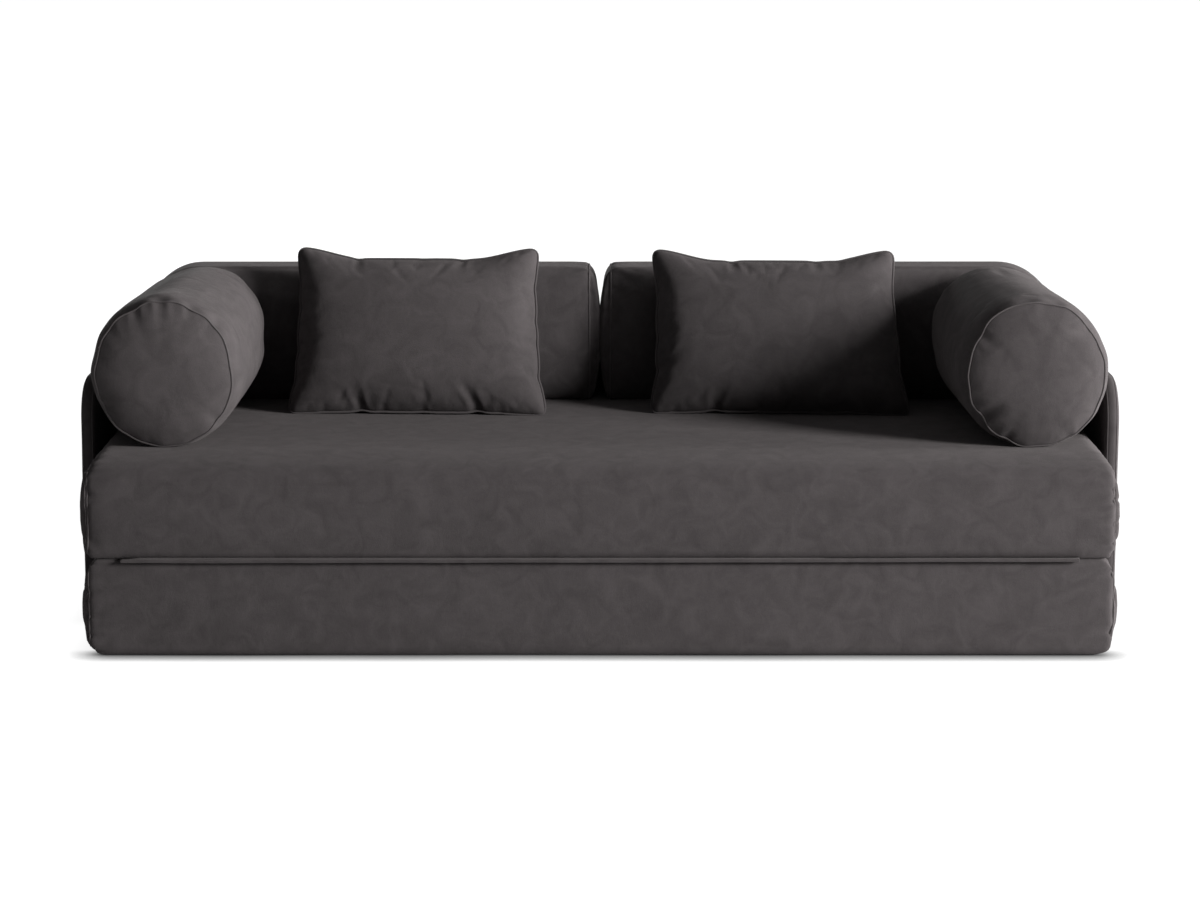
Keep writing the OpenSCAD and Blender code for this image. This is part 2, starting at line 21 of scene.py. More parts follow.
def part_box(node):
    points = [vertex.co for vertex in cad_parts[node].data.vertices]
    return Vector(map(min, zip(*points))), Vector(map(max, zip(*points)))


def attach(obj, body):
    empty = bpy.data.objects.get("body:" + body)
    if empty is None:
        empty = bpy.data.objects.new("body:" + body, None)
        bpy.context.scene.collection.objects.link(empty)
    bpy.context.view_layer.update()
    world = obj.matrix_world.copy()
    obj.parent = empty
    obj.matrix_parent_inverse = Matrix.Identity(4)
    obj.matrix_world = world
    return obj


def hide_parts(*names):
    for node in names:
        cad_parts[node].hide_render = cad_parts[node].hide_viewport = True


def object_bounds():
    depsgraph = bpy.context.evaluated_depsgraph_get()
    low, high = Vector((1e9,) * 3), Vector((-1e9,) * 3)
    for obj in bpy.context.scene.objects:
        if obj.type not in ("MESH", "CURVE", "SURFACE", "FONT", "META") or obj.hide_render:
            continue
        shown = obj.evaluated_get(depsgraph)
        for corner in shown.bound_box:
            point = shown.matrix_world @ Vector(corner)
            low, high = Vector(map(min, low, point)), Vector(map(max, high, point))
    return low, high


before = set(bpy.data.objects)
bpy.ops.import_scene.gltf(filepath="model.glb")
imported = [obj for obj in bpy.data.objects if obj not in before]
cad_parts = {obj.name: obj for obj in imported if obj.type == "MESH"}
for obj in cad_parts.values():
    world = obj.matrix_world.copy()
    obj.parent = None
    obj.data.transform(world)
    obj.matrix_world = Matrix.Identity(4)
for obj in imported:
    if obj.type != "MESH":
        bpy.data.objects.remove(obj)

LOG = logging.getLogger("sofa_bed")
CAD_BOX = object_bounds()
# Points closer than SAME are one point, a length under TINY is none, an edge is along an axis where the
# cosine between them is over ALONG, and most noise lies in NOISE_SPAN.
SAME = 1e-6
TINY = 1e-9
ALONG = 0.999
NOISE_SPAN = (0.3, 0.7)

Colour = tuple[float, float, float]


class Side(Enum):
    """The two ends of the sofa, as the sign of their X."""

    LEFT = -1
    RIGHT = 1

    @property
    def word(self) -> str:
        """The side's word in a node's name."""
        return self.name.lower()


class Axis(Enum):
    """The axes of the frame, as the index of a coordinate."""

    X = 0
    Y = 1
    Z = 2

    @property
    def unit(self) -> Vector:
        """A vector of length one along the axis."""
        return Vector([1.0 if i == self.value else 0.0 for i in range(3)])


def by_side(left: float, right: float) -> dict[Side, float]:
    """A dataclass field with a value for each end of the sofa."""
    return field(default_factory=lambda: {Side.LEFT: left, Side.RIGHT: right})


def vector_of(x: float, y: float, z: float) -> Vector:
    """A dataclass field that starts as a vector."""
    return field(default_factory=lambda: Vector((x, y, z)))


class Slot(Enum):
    """The record's material slots, listed beside the finishes of the inner pieces."""

    VELVET = "velvet"
    TRIM = "velvet_trim"
    FOAM = "foam"
    FIBRE = "fibre_filling"
    PLYWOOD = "plywood"
    STEEL = "zinc_steel"
    GLIDE = "glide_plastic"
    ZIP = "zip_plastic"
    GRIP = "grip_tape"


# Node trees


class Graph:
    """Short ways to add nodes to a node tree and to join them."""

    def __init__(self, tree: NodeTree) -> None:
        """Keeps the tree that the nodes go into."""
        self.tree = tree

    def add(self, kind: str, inputs: dict | None = None, **settings) -> Node:
        """Adds a node.

        Args:
            kind: the node's type.
            inputs: a value or an output socket for each named or numbered input.
            settings: properties of the node.

        Returns:
            The new node.
        """
        node = self.tree.nodes.new(kind)
        for name, value in settings.items():
            setattr(node, name, value)
        for name, value in (inputs or {}).items():
            if isinstance(value, NodeSocket):
                self.tree.links.new(value, node.inputs[name])
            else:
                node.inputs[name].default_value = value
        return node

    def link(self, given: NodeSocket, taken: NodeSocket) -> None:
        """Joins an output to an input."""
        self.tree.links.new(given, taken)

    def maths(self, operation: str, *values) -> NodeSocket:
        """Adds a Math node on values or sockets and returns its output."""
        inputs = dict(enumerate(values))
        return self.add("ShaderNodeMath", inputs, operation=operation).outputs[0]

    def noise(self, vector: NodeSocket, scale: float, detail: float = 2.0,
              distortion: float = 0.0) -> NodeSocket:
        """Adds a noise texture and returns its factor."""
        inputs = {"Vector": vector, "Scale": scale, "Detail": detail, "Distortion": distortion}
        return self.add("ShaderNodeTexNoise", inputs).outputs[0]

    def between(self, factor: NodeSocket, low: float, high: float) -> NodeSocket:
        """Maps the middle of a noise's range to the range from low to high."""
        span = {"From Min": NOISE_SPAN[0], "From Max": NOISE_SPAN[1]}
        inputs = {"Value": factor, **span, "To Min": low, "To Max": high}
        return self.add("ShaderNodeMapRange", inputs).outputs[0]

    def tint(self, colour: NodeSocket, factor: NodeSocket) -> NodeSocket:
        """Scales a colour by a factor and returns the product."""
        inputs = {0: colour, "Scale": factor}
        return self.add("ShaderNodeVectorMath", inputs, operation="SCALE").outputs[0]

    def mix(self, factor: NodeSocket, low: tuple, high: tuple) -> NodeSocket:
        """Mixes two colours by a factor and returns the result."""
        node = self.add("ShaderNodeMix", {"Factor": factor, "A": low, "B": high}, data_type="RGBA")
        return node.outputs["Result"]


def rgba(colour: Colour) -> tuple[float, float, float, float]:
    """The colour with full opacity."""
    return (*colour, 1.0)


def set_inputs(node: Node, values: dict[str, float | tuple]) -> None:
    """Sets some named inputs of a node to plain values."""
    for label, value in values.items():
        node.inputs[label].default_value = value


def build_group(name: str, inputs: Sequence[tuple[str, str]], outputs: Sequence[tuple[str, str]],
                wire: Callable[[Graph, NodeSocket, Node], None]) -> NodeTree:
    """Builds a shader node group once.

    Args:
        name: the group's name.
        inputs: names and socket types of what goes in.
        outputs: names and socket types of what comes out.
        wire: adds the nodes, given the graph, the group's inputs and its output node.

    Returns:
        The group, which is kept for the next material that asks for it.
    """
    known = bpy.data.node_groups.get(name)
    if known:
        return known
    tree = bpy.data.node_groups.new(name, "ShaderNodeTree")
    for way, sockets in (("INPUT", inputs), ("OUTPUT", outputs)):
        for label, kind in sockets:
            tree.interface.new_socket(label, in_out=way, socket_type=kind)
    graph = Graph(tree)
    wire(graph, graph.add("NodeGroupInput"), graph.add("NodeGroupOutput"))
    return tree


# How many clouds, flecks and tufts of a velvet one metre holds; a fleck is longer than it is wide.
CLOUDS_PER_M, CLOUD_DETAIL, CLOUD_DISTORTION = 21.0, 6.0, 1.1
FLECKS_PER_M = (95.0, 190.0)
FLECK_HEIGHT = 0.12
TUFTS_PER_M = 900.0
# The fine part of a speckle, against its coarse part.
FINE_TIMES = 9.0
FINE_SHARE = 0.4


def nap_group() -> NodeTree:
    """Brushed clouds, flecks and the pile of a velvet."""

    def wire(graph: Graph, given: Node, made: Node) -> None:
        """Joins clouds, flecks and pile into a colour and a height."""
        vector = given.outputs["Vector"]
        clouds = graph.noise(vector, CLOUDS_PER_M, CLOUD_DETAIL, CLOUD_DISTORTION)
        patches = graph.between(clouds, -1.0, 1.0)
        flecks = []
        for along, across in (FLECKS_PER_M, FLECKS_PER_M[::-1]):
            stretch = {"Vector": vector, "Scale": (along, across, across)}
            stretched = graph.add("ShaderNodeMapping", stretch)
            flecks.append(graph.between(graph.noise(stretched.outputs[0], 1.0), -1.0, 1.0))
        mottle = graph.maths("ADD", *flecks)
        pile = graph.noise(vector, TUFTS_PER_M)
        brushed = graph.maths("MULTIPLY", patches, given.outputs["Patches"])
        speckled = graph.maths("MULTIPLY", mottle, given.outputs["Mottle"])
        grained = graph.maths("MULTIPLY", graph.between(pile, -1.0, 1.0), given.outputs["Grain"])
        total = graph.maths("ADD", graph.maths("ADD", brushed, speckled), grained)
        shade = graph.maths("ADD", total, 1.0)
        lit = graph.tint(given.outputs["Color"], shade)
        lay = graph.maths("ADD", graph.maths("MULTIPLY", mottle, FLECK_HEIGHT), pile)
        graph.link(lit, made.inputs["Color"])
        graph.link(lay, made.inputs["Height"])

    inputs = [("Vector", "NodeSocketVector"), ("Color", "NodeSocketColor"), ("Patches", "NodeSocketFloat"),
              ("Mottle", "NodeSocketFloat"), ("Grain", "NodeSocketFloat")]
    outputs = [("Color", "NodeSocketColor"), ("Height", "NodeSocketFloat")]
    return build_group("velvet_nap", inputs, outputs, wire)


def speckle_group() -> NodeTree:
    """Fine and coarse unevenness for foam, boards, metal and plastic."""

    def wire(graph: Graph, given: Node, made: Node) -> None:
        """Mixes coarse and fine noise by the given strengths."""
        vector, scale = given.outputs["Vector"], given.outputs["Scale"]
        coarse = graph.between(graph.noise(vector, scale), -1.0, 1.0)
        fine_scale = graph.maths("MULTIPLY", scale, FINE_TIMES)
        fine = graph.between(graph.noise(vector, fine_scale), -1.0, 1.0)
        both = graph.maths("ADD", graph.maths("MULTIPLY", fine, FINE_SHARE), coarse)
        shade = graph.maths("MULTIPLY_ADD", both, given.outputs["Strength"], 1.0)
        graph.link(graph.tint(given.outputs["Color"], shade), made.inputs["Color"])
        graph.link(both, made.inputs["Height"])

    inputs = [("Vector", "NodeSocketVector"), ("Color", "NodeSocketColor"), ("Scale", "NodeSocketFloat"),
              ("Strength", "NodeSocketFloat")]
    outputs = [("Color", "NodeSocketColor"), ("Height", "NodeSocketFloat")]
    return build_group("speckle", inputs, outputs, wire)


class Finish:
    """A procedural material that is built the first time that a piece asks for it."""

    name: str

    def material(self) -> Material:
        """The material, built once."""
        known = bpy.data.materials.get(self.name)
        if known:
            return known
        material = bpy.data.materials.new(self.name)
        material.use_nodes = True
        graph = Graph(material.node_tree)
        shader = material.node_tree.nodes["Principled BSDF"]
        place = graph.add("ShaderNodeTexCoord").outputs["Object"]
        self.wire(graph, shader, place)
        return material

    def wire(self, graph: Graph, shader: Node, place: NodeSocket) -> None:
        """Sets up the shader; each finish has its own."""
        raise NotImplementedError

    @staticmethod
    def bump(graph: Graph, shader: Node, height: NodeSocket, depth: float) -> None:
        """Feeds a height to the shader's normal.

        Args:
            graph: the material's graph.
            shader: the shader that gets the normal.
            height: the height, from about zero to one.
            depth: how deep a height of one is, in metres.
        """
        node = graph.add("ShaderNodeBump", {"Height": height, "Strength": 1.0, "Distance": depth})
        graph.link(node.outputs[0], shader.inputs["Normal"])


@dataclass(frozen=True)
class Velvet(Finish):
    """Short-pile velvet, dark when seen straight on and paler at a grazing view."""

    name: str
    colour: Colour
    sheen: float
    sheen_colour: Colour
    roughness: float = 0.95
    specular: float = 0.04
    sheen_roughness: float = 0.6
    diffuse_roughness: float = 0.3
    patches: float = 0.14
    mottle: float = 0.015
    grain: float = 0.09
    pile_depth: float = 0.0003

    def wire(self, graph: Graph, shader: Node, place: NodeSocket) -> None:
        """Joins the nap's colour and height to the shader."""
        inputs = {"Vector": place, "Color": rgba(self.colour), "Patches": self.patches,
                  "Mottle": self.mottle, "Grain": self.grain}
        nap = graph.add("ShaderNodeGroup", inputs, node_tree=nap_group())
        graph.link(nap.outputs["Color"], shader.inputs["Base Color"])
        set_inputs(shader, {
            "Roughness": self.roughness,
            "Diffuse Roughness": self.diffuse_roughness,
            "Specular IOR Level": self.specular,
            "Sheen Weight": self.sheen,
            "Sheen Roughness": self.sheen_roughness,
            "Sheen Tint": rgba(self.sheen_colour),
        })
        self.bump(graph, shader, nap.outputs["Height"], self.pile_depth)


@dataclass(frozen=True)
class Speckled(Finish):
    """A plain stuff with fine and coarse unevenness, such as foam, steel or plastic."""

    name: str
    colour: Colour
    roughness: float
    scale: float
    strength: float
    depth: float
    metallic: float = 0.0

    def wire(self, graph: Graph, shader: Node, place: NodeSocket) -> None:
        """Joins the speckle's colour and height to the shader."""
        inputs = {"Vector": place, "Color": rgba(self.colour), "Scale": self.scale, "Strength": self.strength}
        node = graph.add("ShaderNodeGroup", inputs, node_tree=speckle_group())
        graph.link(node.outputs["Color"], shader.inputs["Base Color"])
        set_inputs(shader, {"Roughness": self.roughness, "Metallic": self.metallic})
        self.bump(graph, shader, node.outputs["Height"], self.depth)


# The wave texture runs through this many radians where its coordinate grows by one at scale one.
WAVE_TURNS = 20


@dataclass(frozen=True)
class Banded(Finish):
    """A stuff with parallel bands along one axis, such as plies, teeth or rows of hooks."""

    name: str
    colour: Colour
    dark: Colour
    roughness: float
    axis: Axis
    bands_per_m: float
    depth: float
    distortion: float = 0.0
    grain_per_m: float = 60.0
    grain: float = 0.1

    def wire(self, graph: Graph, shader: Node, place: NodeSocket) -> None:
        """Joins the bands' colour and height to the shader."""
        turns = self.bands_per_m * math.tau / WAVE_TURNS
        inputs = {"Vector": place, "Scale": turns, "Distortion": self.distortion, "Detail": 2.0}
        wave = graph.add("ShaderNodeTexWave", inputs, bands_direction=self.axis.name)
        colour = graph.mix(wave.outputs["Fac"], rgba(self.dark), rgba(self.colour))
        grain = graph.noise(place, self.grain_per_m)
        shade = graph.between(grain, 1.0 - self.grain, 1.0 + self.grain)
        graph.link(graph.tint(colour, shade), shader.inputs["Base Color"])
        set_inputs(shader, {"Roughness": self.roughness})
        self.bump(graph, shader, wave.outputs["Fac"], self.depth)


SHEEN_GREY = (0.62, 0.58, 0.57)
ZIP_GREY, ZIP_SHADE = (0.045, 0.042, 0.043), (0.012, 0.012, 0.012)
COVER_VELVET = Velvet("cover_velvet", (0.066, 0.059, 0.060), 0.06, SHEEN_GREY)
# A paler copy of the cover velvet for the loose pieces on the left: painted light, which makes the left
# pillow and bolster look more brightly lit.
PAINTED_LIGHT_VELVET = Velvet("painted_light_velvet", (0.076, 0.068, 0.069), 0.06, SHEEN_GREY)
# The left pillow and bolster take the painted-light copy; the right ones take the cover velvet.
LOOSE_VELVET = {Side.LEFT: PAINTED_LIGHT_VELVET, Side.RIGHT: COVER_VELVET}
# Paler than the cover velvet: a painted highlight for the thin light lines along the piping. The hinge flange
# takes it too.
TRIM_VELVET = Velvet("trim_velvet", (0.080, 0.072, 0.073), 0.07, (0.66, 0.62, 0.61), patches=0.03)
FOAM = Speckled("open_cell_foam", (0.86, 0.80, 0.62), 0.95, 260.0, 0.05, 0.0006)
FIBRE = Speckled("fibre_wadding", (0.86, 0.85, 0.82), 1.0, 120.0, 0.04, 0.002)
PLYWOOD = Banded("birch_plywood", (0.58, 0.42, 0.25), (0.45, 0.31, 0.17), 0.6, Axis.Z, 90.0, 0.0001, 6.0)
STEEL = Speckled("zinc_plated_steel", (0.62, 0.63, 0.65), 0.34, 240.0, 0.06, 0.00003, 1.0)
GLIDE_PLASTIC = Speckled("glide_plastic", (0.03, 0.03, 0.032), 0.45, 400.0, 0.05, 0.00005)
ZIP_TEETH_X = Banded("zip_across", ZIP_GREY, ZIP_SHADE, 0.5, Axis.X, 400.0, 0.0004)
ZIP_TEETH_Y = Banded("zip_lengthwise", ZIP_GREY, ZIP_SHADE, 0.5, Axis.Y, 400.0, 0.0004)
GRIP = Banded("grip_tape", (0.04, 0.038, 0.038), (0.015, 0.015, 0.015), 0.9, Axis.X, 500.0, 0.0006, 1.0)


# Mesh helpers


def join_doubles(bm: BMesh) -> None:
    """Merges double vertices and turns every face outwards."""
    bmesh.ops.remove_doubles(bm, verts=bm.verts, dist=SAME)
    bmesh.ops.recalc_face_normals(bm, faces=bm.faces)


def to_piece(name: str, bm: BMesh) -> Object:
    """Turns a bmesh into an object at the origin with smooth faces.

    Args:
        name: the piece's name.
        bm: the shape, which is freed.

    Returns:
        The new object, linked to the scene.
    """
    mesh = bpy.data.meshes.new(name)
    bm.to_mesh(mesh)
    bm.free()
    mesh.polygons.foreach_set("use_smooth", [True] * len(mesh.polygons))
    piece = bpy.data.objects.new(name, mesh)
    bpy.context.scene.collection.objects.link(piece)
    return piece


def dress(piece: Object, finish: Finish, body: str,
          replaces: Sequence[str] = ()) -> Object:
    """Gives a piece its finish and its body, and hides the nodes that it stands for.

    Args:
        piece: the finished piece.
        finish: what it is made of.
        body: the body that it rides on.
        replaces: the nodes of the frame that it stands for.

    Returns:
        The same piece.
    """
    piece.data.materials.clear()
    piece.data.materials.append(finish.material())
    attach(piece, body)
    if replaces:
        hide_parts(*replaces)
    LOG.info("%s: %d faces on %s", piece.name, len(piece.data.polygons), body)
    return piece


def box_mesh(low: Vector, high: Vector) -> BMesh:
    """A box between two corners."""
    bm = bmesh.new()
    bmesh.ops.create_cube(bm, size=1.0)
    size = high - low
    bmesh.ops.scale(bm, vec=size, verts=bm.verts)
    bmesh.ops.translate(bm, vec=(low + high) / 2, verts=bm.verts)
    return bm


def edges_along(bm: BMesh, axis: Axis) -> list[BMEdge]:
    """The edges that run along an axis."""
    found = []
    for edge in bm.edges:
        way = (edge.verts[1].co - edge.verts[0].co).normalized()
        if abs(way[axis.value]) > ALONG:
            found.append(edge)
    return found


def bevel(bm: BMesh, edges: Sequence[BMEdge], offset: float, segments: int,
          clamp: bool = True) -> None:
    """Rounds some edges evenly."""
    bmesh.ops.bevel(bm, geom=edges, offset=offset, segments=segments, profile=0.5, affect="EDGES",
                    material=-1, clamp_overlap=clamp)


def lies_at(edge: BMEdge, axis: Axis, place: float) -> bool:
    """Whether both ends of an edge lie at a place along an axis."""
    return all(abs(vert.co[axis.value] - place) < SAME for vert in edge.verts)


def grid_box(cuts: Sequence[int]) -> BMesh:
    """A cube from -1 to 1 whose faces are cut into a grid.

    Args:
        cuts: the number of cuts along X, Y and Z.

    Returns:
        The cut cube.
    """
    bm = box_mesh(Vector((-1, -1, -1)), Vector((1, 1, 1)))
    for axis, count in zip(Axis, cuts):
        bmesh.ops.subdivide_edges(bm, edges=edges_along(bm, axis), cuts=count, use_grid_fill=True)
    return bm


def slice_grid(bm: BMesh, axis: Axis, spacing: float) -> None:
    """Cuts a shape with parallel planes, so that its flat faces can be shaped."""
    values = [vert.co[axis.value] for vert in bm.verts]
    low, high = min(values), max(values)
    count = max(1, round((high - low) / spacing))
    for k in range(1, count):
        at = axis.unit * (low + (high - low) * k / count)
        geom = [*bm.verts, *bm.edges, *bm.faces]
        bmesh.ops.bisect_plane(bm, geom=geom, dist=SAME, plane_co=at, plane_no=axis.unit)


def cut_ring(bm: BMesh, at: Vector, normal: Vector) -> list[BMVert]:
    """Cuts a closed shape with a plane and returns the cut's vertices in order."""
    geom = [*bm.verts, *bm.edges, *bm.faces]
    made = bmesh.ops.bisect_plane(bm, geom=geom, dist=SAME, plane_co=at, plane_no=normal)
    return walk_verts([item for item in made["geom_cut"] if isinstance(item, BMEdge)])


def walk_verts(edges: Iterable[BMEdge]) -> list[BMVert]:
    """Puts the vertices of one closed run of edges in order."""
    joined: dict[BMVert, list[BMVert]] = {}
    for edge in edges:
        a, b = edge.verts
        joined.setdefault(a, []).append(b)
        joined.setdefault(b, []).append(a)
    start = next(iter(joined))
    run, last, here = [start], None, start
    while True:
        onward = [vert for vert in joined[here] if vert is not last]
        if not onward or onward[0] is start:
            return run
        last, here = here, onward[0]
        if here is start:
            return run
        run.append(here)


def even_points(points: Sequence[Vector], spacing: float) -> list[Vector]:
    """Resamples a closed run of points at an even spacing."""
    ends = list(zip(points, [*points[1:], points[0]]))
    lengths = [(b - a).length for a, b in ends]
    total = sum(lengths)
    count = max(12, round(total / spacing))
    made, gone, k = [], 0.0, 0
    for i in range(count):
        target = total * i / count
        while gone + lengths[k] < target:
            gone += lengths[k]
            k += 1
        a, b = ends[k]
        made.append(a.lerp(b, (target - gone) / max(lengths[k], TINY)))
    return made


def relaxed(points: Sequence[Vector], rounds: int = 2) -> list[Vector]:
    """Smooths a closed run of points a few times."""
    run = list(points)
    for _ in range(rounds):
        run = [(run[i - 1] + 2 * run[i] + run[(i + 1) % len(run)]) / 4 for i in range(len(run))]
    return run


def tube_piece(name: str, loops: Sequence[Sequence[Vector]], radius: float,
               spacing: float = 0.006) -> Object:
    """A cord of piping along one or more closed loops.

    Args:
        name: the piece's name.
        loops: the points of each loop.
        radius: the piping's radius.
        spacing: the distance between the rings of the tube.

    Returns:
        The piping as one mesh object.
    """
    curve = bpy.data.curves.new(name, "CURVE")
    curve.dimensions = "3D"
    curve.bevel_depth = radius
    curve.bevel_resolution = 1
    for loop in loops:
        points = relaxed(even_points(loop, spacing))
        spline = curve.splines.new("POLY")
        spline.points.add(len(points) - 1)
        for point, co in zip(spline.points, points):
            point.co = (*co, 1.0)
        spline.use_cyclic_u = True
    scratch = bpy.data.objects.new(name, curve)
    mesh = bpy.data.meshes.new_from_object(scratch)
    bpy.data.objects.remove(scratch)
    bpy.data.curves.remove(curve)
    bm = bmesh.new()
    bm.from_mesh(mesh)
    bpy.data.meshes.remove(mesh)
    join_doubles(bm)
    return to_piece(name, bm)


def lay_piping(name: str, loops: Sequence[Sequence[Vector]], radius: float, body: str,
               replaces: Sequence[str] = ()) -> None:
    """Makes the piping along some seams of a body and dresses it."""
    dress(tube_piece(name, loops, radius), TRIM_VELVET, body, replaces)


# The way in noise space along which seeds lie.
SEED_WAY = Vector((1.0, 2.3, 0.7))


def drift(co: Vector, per_m: float, seed: float) -> float:
    """Smooth noise between about -1 and 1 at a point."""
    return noise.noise(co * per_m + SEED_WAY * seed)


def undulate(bm: BMesh, amount: float, per_m: float, seed: float,
             where: Callable[[Vector], float] | None = None) -> None:
    """Moves the surface in and out along its normals.

    Args:
        bm: the shape.
        amount: the largest move.
        per_m: how many waves a metre holds.
        seed: shifts the noise.
        where: scales the move at a point.
    """
    bm.normal_update()
    for vert in bm.verts:
        share = where(vert.co) if where else 1.0
        vert.co += vert.normal * (amount * share * drift(vert.co, per_m, seed))


def smooth_step(low: float, high: float, value: float) -> float:
    """Rises smoothly from zero at low to one at high."""
    t = min(1.0, max(0.0, (value - low) / (high - low)))
    return t * t * (3.0 - 2.0 * t)


def round_corner(x: float, y: float, half_x: float, half_y: float, radius: float) -> tuple[float, float]:
    """Moves a place in a rectangle about the origin so that its corners are round."""
    centre_x, centre_y = half_x - radius, half_y - radius
    dx, dy = abs(x) - centre_x, abs(y) - centre_y
    if dx <= 0 or dy <= 0:
        return x, y
    scale = max(dx, dy) / math.hypot(dx, dy)
    return math.copysign(centre_x + dx * scale, x), math.copysign(centre_y + dy * scale, y)


def bell(gap: float, reach: float) -> float:
    """A smooth bump: one at no gap, and little beyond the reach."""
    return math.exp(-(gap / reach) ** 2)


# Filled covers


@dataclass(frozen=True)
class Inflation:
    """How a sewn cover is blown up over its filling while its seams are held."""

    pressure: float = 4.0
    frames: int = 20
    stretch: float = 14.0
    bending: float = 0.4
    slack: float = 0.01
    calm_slack: float = 0.0
    cap: float = 0.02
    quality: int = 6
    mass: float = 0.3
    damping: float = 2.0
    shear_share: float = 1 / 3

    def apply(self, piece: Object, held: Iterable[int], calm: Iterable[int] = ()) -> None:
        """Runs the cloth on a piece and keeps the softly capped result.

        Args:
            piece: the cover's mesh.
            held: the vertices of its seams, which stay in place.
            calm: the vertices of the parts that have less spare cloth.
        """
        start = [vert.co.copy() for vert in piece.data.vertices]
        piece.vertex_groups.new(name="held").add(list(held), 1.0, "REPLACE")
        piece.vertex_groups.new(name="calm").add(list(calm), 1.0, "REPLACE")
        cloth = piece.modifiers.new("cloth", "CLOTH")
        setup = cloth.settings
        setup.quality = self.quality
        setup.mass = self.mass
        setup.tension_stiffness = self.stretch
        setup.compression_stiffness = self.stretch
        setup.shear_stiffness = self.stretch * self.shear_share
        setup.bending_stiffness = self.bending
        setup.air_damping = self.damping
        setup.use_pressure = True
        setup.uniform_pressure_force = self.pressure
        setup.effector_weights.gravity = 0.0
        setup.vertex_group_mass = "held"
        setup.vertex_group_shrink = "calm"
        setup.shrink_min = -self.slack
        setup.shrink_max = -self.calm_slack
        cloth.collision_settings.use_collision = False
        cloth.collision_settings.use_self_collision = False
        cloth.point_cache.frame_start = 1
        cloth.point_cache.frame_end = self.frames
        scene = bpy.context.scene
        for frame_number in range(1, self.frames + 1):
            scene.frame_set(frame_number)
        shaped = piece.evaluated_get(bpy.context.evaluated_depsgraph_get()).data
        moved = [vert.co.copy() for vert in shaped.vertices]
        piece.modifiers.remove(cloth)
        piece.vertex_groups.clear()
        for vert, before, target in zip(piece.data.vertices, start, moved):
            step = target - before
            if step.length > TINY:
                step *= self.cap * math.tanh(step.length / self.cap) / step.length
            vert.co = before + step
        scene.frame_set(1)


@dataclass(frozen=True)
class Crease:
    """A pleat that runs from a seam into the cloth.

    Its place is a share of the seam from -1 to 1, or an angle in degrees on a round seam.
    """

    at: float
    length: float = 0.05
    depth: float = 0.005
    width: float = 0.009
    lean: float = 0.0
    fade: float = 1.5
    ridge_at: float = 1.7
    ridge_share: float = 0.45
    kink_share: float = 0.4

    def dent(self, along: float, away: float) -> float:
        """How deep the cloth dips.

        Args:
            along: the distance from the pleat's foot along the seam.
            away: the distance from the seam.

        Returns:
            The depth, which is negative on the ridges beside the pleat.
        """
        if not 0.0 <= away < self.length:
            return 0.0
        share = away / self.length
        across = (along - self.lean * away) / (self.width * (1.0 + share))
        ridges = bell(across - self.ridge_at, 1.0) + bell(across + self.ridge_at, 1.0)
        form = math.exp(-across * across) - self.ridge_share * ridges
        return self.depth * (1.0 - share) ** self.fade * form

    def kink(self, along: float) -> float:
        """How far the seam itself is drawn in at a distance from the pleat's foot."""
        return self.kink_share * self.depth * bell(along, self.width)


def refine(piece: Object) -> None:
    """Subdivides a simulated piece once and keeps the result."""
    modifier = piece.modifiers.new("smooth", "SUBSURF")
    modifier.levels = 1
    modifier.render_levels = 1
    shaped = piece.evaluated_get(bpy.context.evaluated_depsgraph_get())
    mesh = bpy.data.meshes.new_from_object(shaped)
    piece.modifiers.remove(modifier)
    old = piece.data
    piece.data = mesh
    bpy.data.meshes.remove(old)


def settle(piece: Object, low: Vector, high: Vector, axis: Axis) -> None:
    """Scales a simulated piece along an axis back into the space between two corners."""
    i = axis.value
    places = [vert.co[i] for vert in piece.data.vertices]
    now_low, now_high = min(places), max(places)
    scale = (high[i] - low[i]) / (now_high - now_low)
    for vert in piece.data.vertices:
        vert.co[i] = low[i] + (vert.co[i] - now_low) * scale


def sink_pocket(bm: BMesh, zip_name: str, out: Vector, along: Axis) -> None:
    """Sinks a pocket with neat lips into a cover where a zip lies.

    Args:
        bm: the cover, in the frame's own place.
        zip_name: the zip's node.
        out: the way that the zip faces.
        along: the axis that it runs along.
    """
    floor_gap, lip, reach = 0.0003, 0.0012, 0.02
    across = out.cross(along.unit)
    points = [vert.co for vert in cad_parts[zip_name].data.vertices]
    spans = []
    for way in (across, along.unit):
        places = [point.dot(way) for point in points]
        spans.append((way, min(places) - floor_gap, max(places) + floor_gap))
    heights = [point.dot(out) for point in points]
    under, over = min(heights) - floor_gap, max(heights) - floor_gap
    for way, low, high in spans:
        for place in (low - lip, low, high, high + lip):
            geom = [*bm.verts, *bm.edges, *bm.faces]
            bmesh.ops.bisect_plane(bm, geom=geom, dist=SAME, plane_co=way * place, plane_no=way)
    for vert in bm.verts:
        height = vert.co.dot(out)
        if height < under - reach:
            continue
        outside = max(max(low - vert.co.dot(way), vert.co.dot(way) - high) for way, low, high in spans)
        if outside < lip / 2:
            vert.co += out * (under - height)
        elif outside < reach:
            share = 1.0 - smooth_step(lip, reach, outside)
            vert.co += out * ((over - height) * share)


def open_pocket(cover: Object, zip_name: str, out: Vector, along: Axis) -> None:
    """Sinks a zip's pocket into a finished cover."""
    bm = bmesh.new()
    bm.from_mesh(cover.data)
    sink_pocket(bm, zip_name, out, along)
    join_doubles(bm)
    bm.to_mesh(cover.data)
    bm.free()


@dataclass(frozen=True)
class EdgeRound:
    """How an edge of a filled block rounds over: its reach inwards, its fall and its fullness."""

    reach: float
    fall: float
    power: float = 0.5

    def drop(self, inset: float) -> float:
        """How far the face lies below its level at a distance from the edge."""
        if inset >= self.reach:
            return 0.0
        share = 1.0 - max(inset, 0.0) / self.reach
        return self.fall * (1.0 - (1.0 - share * share) ** self.power)


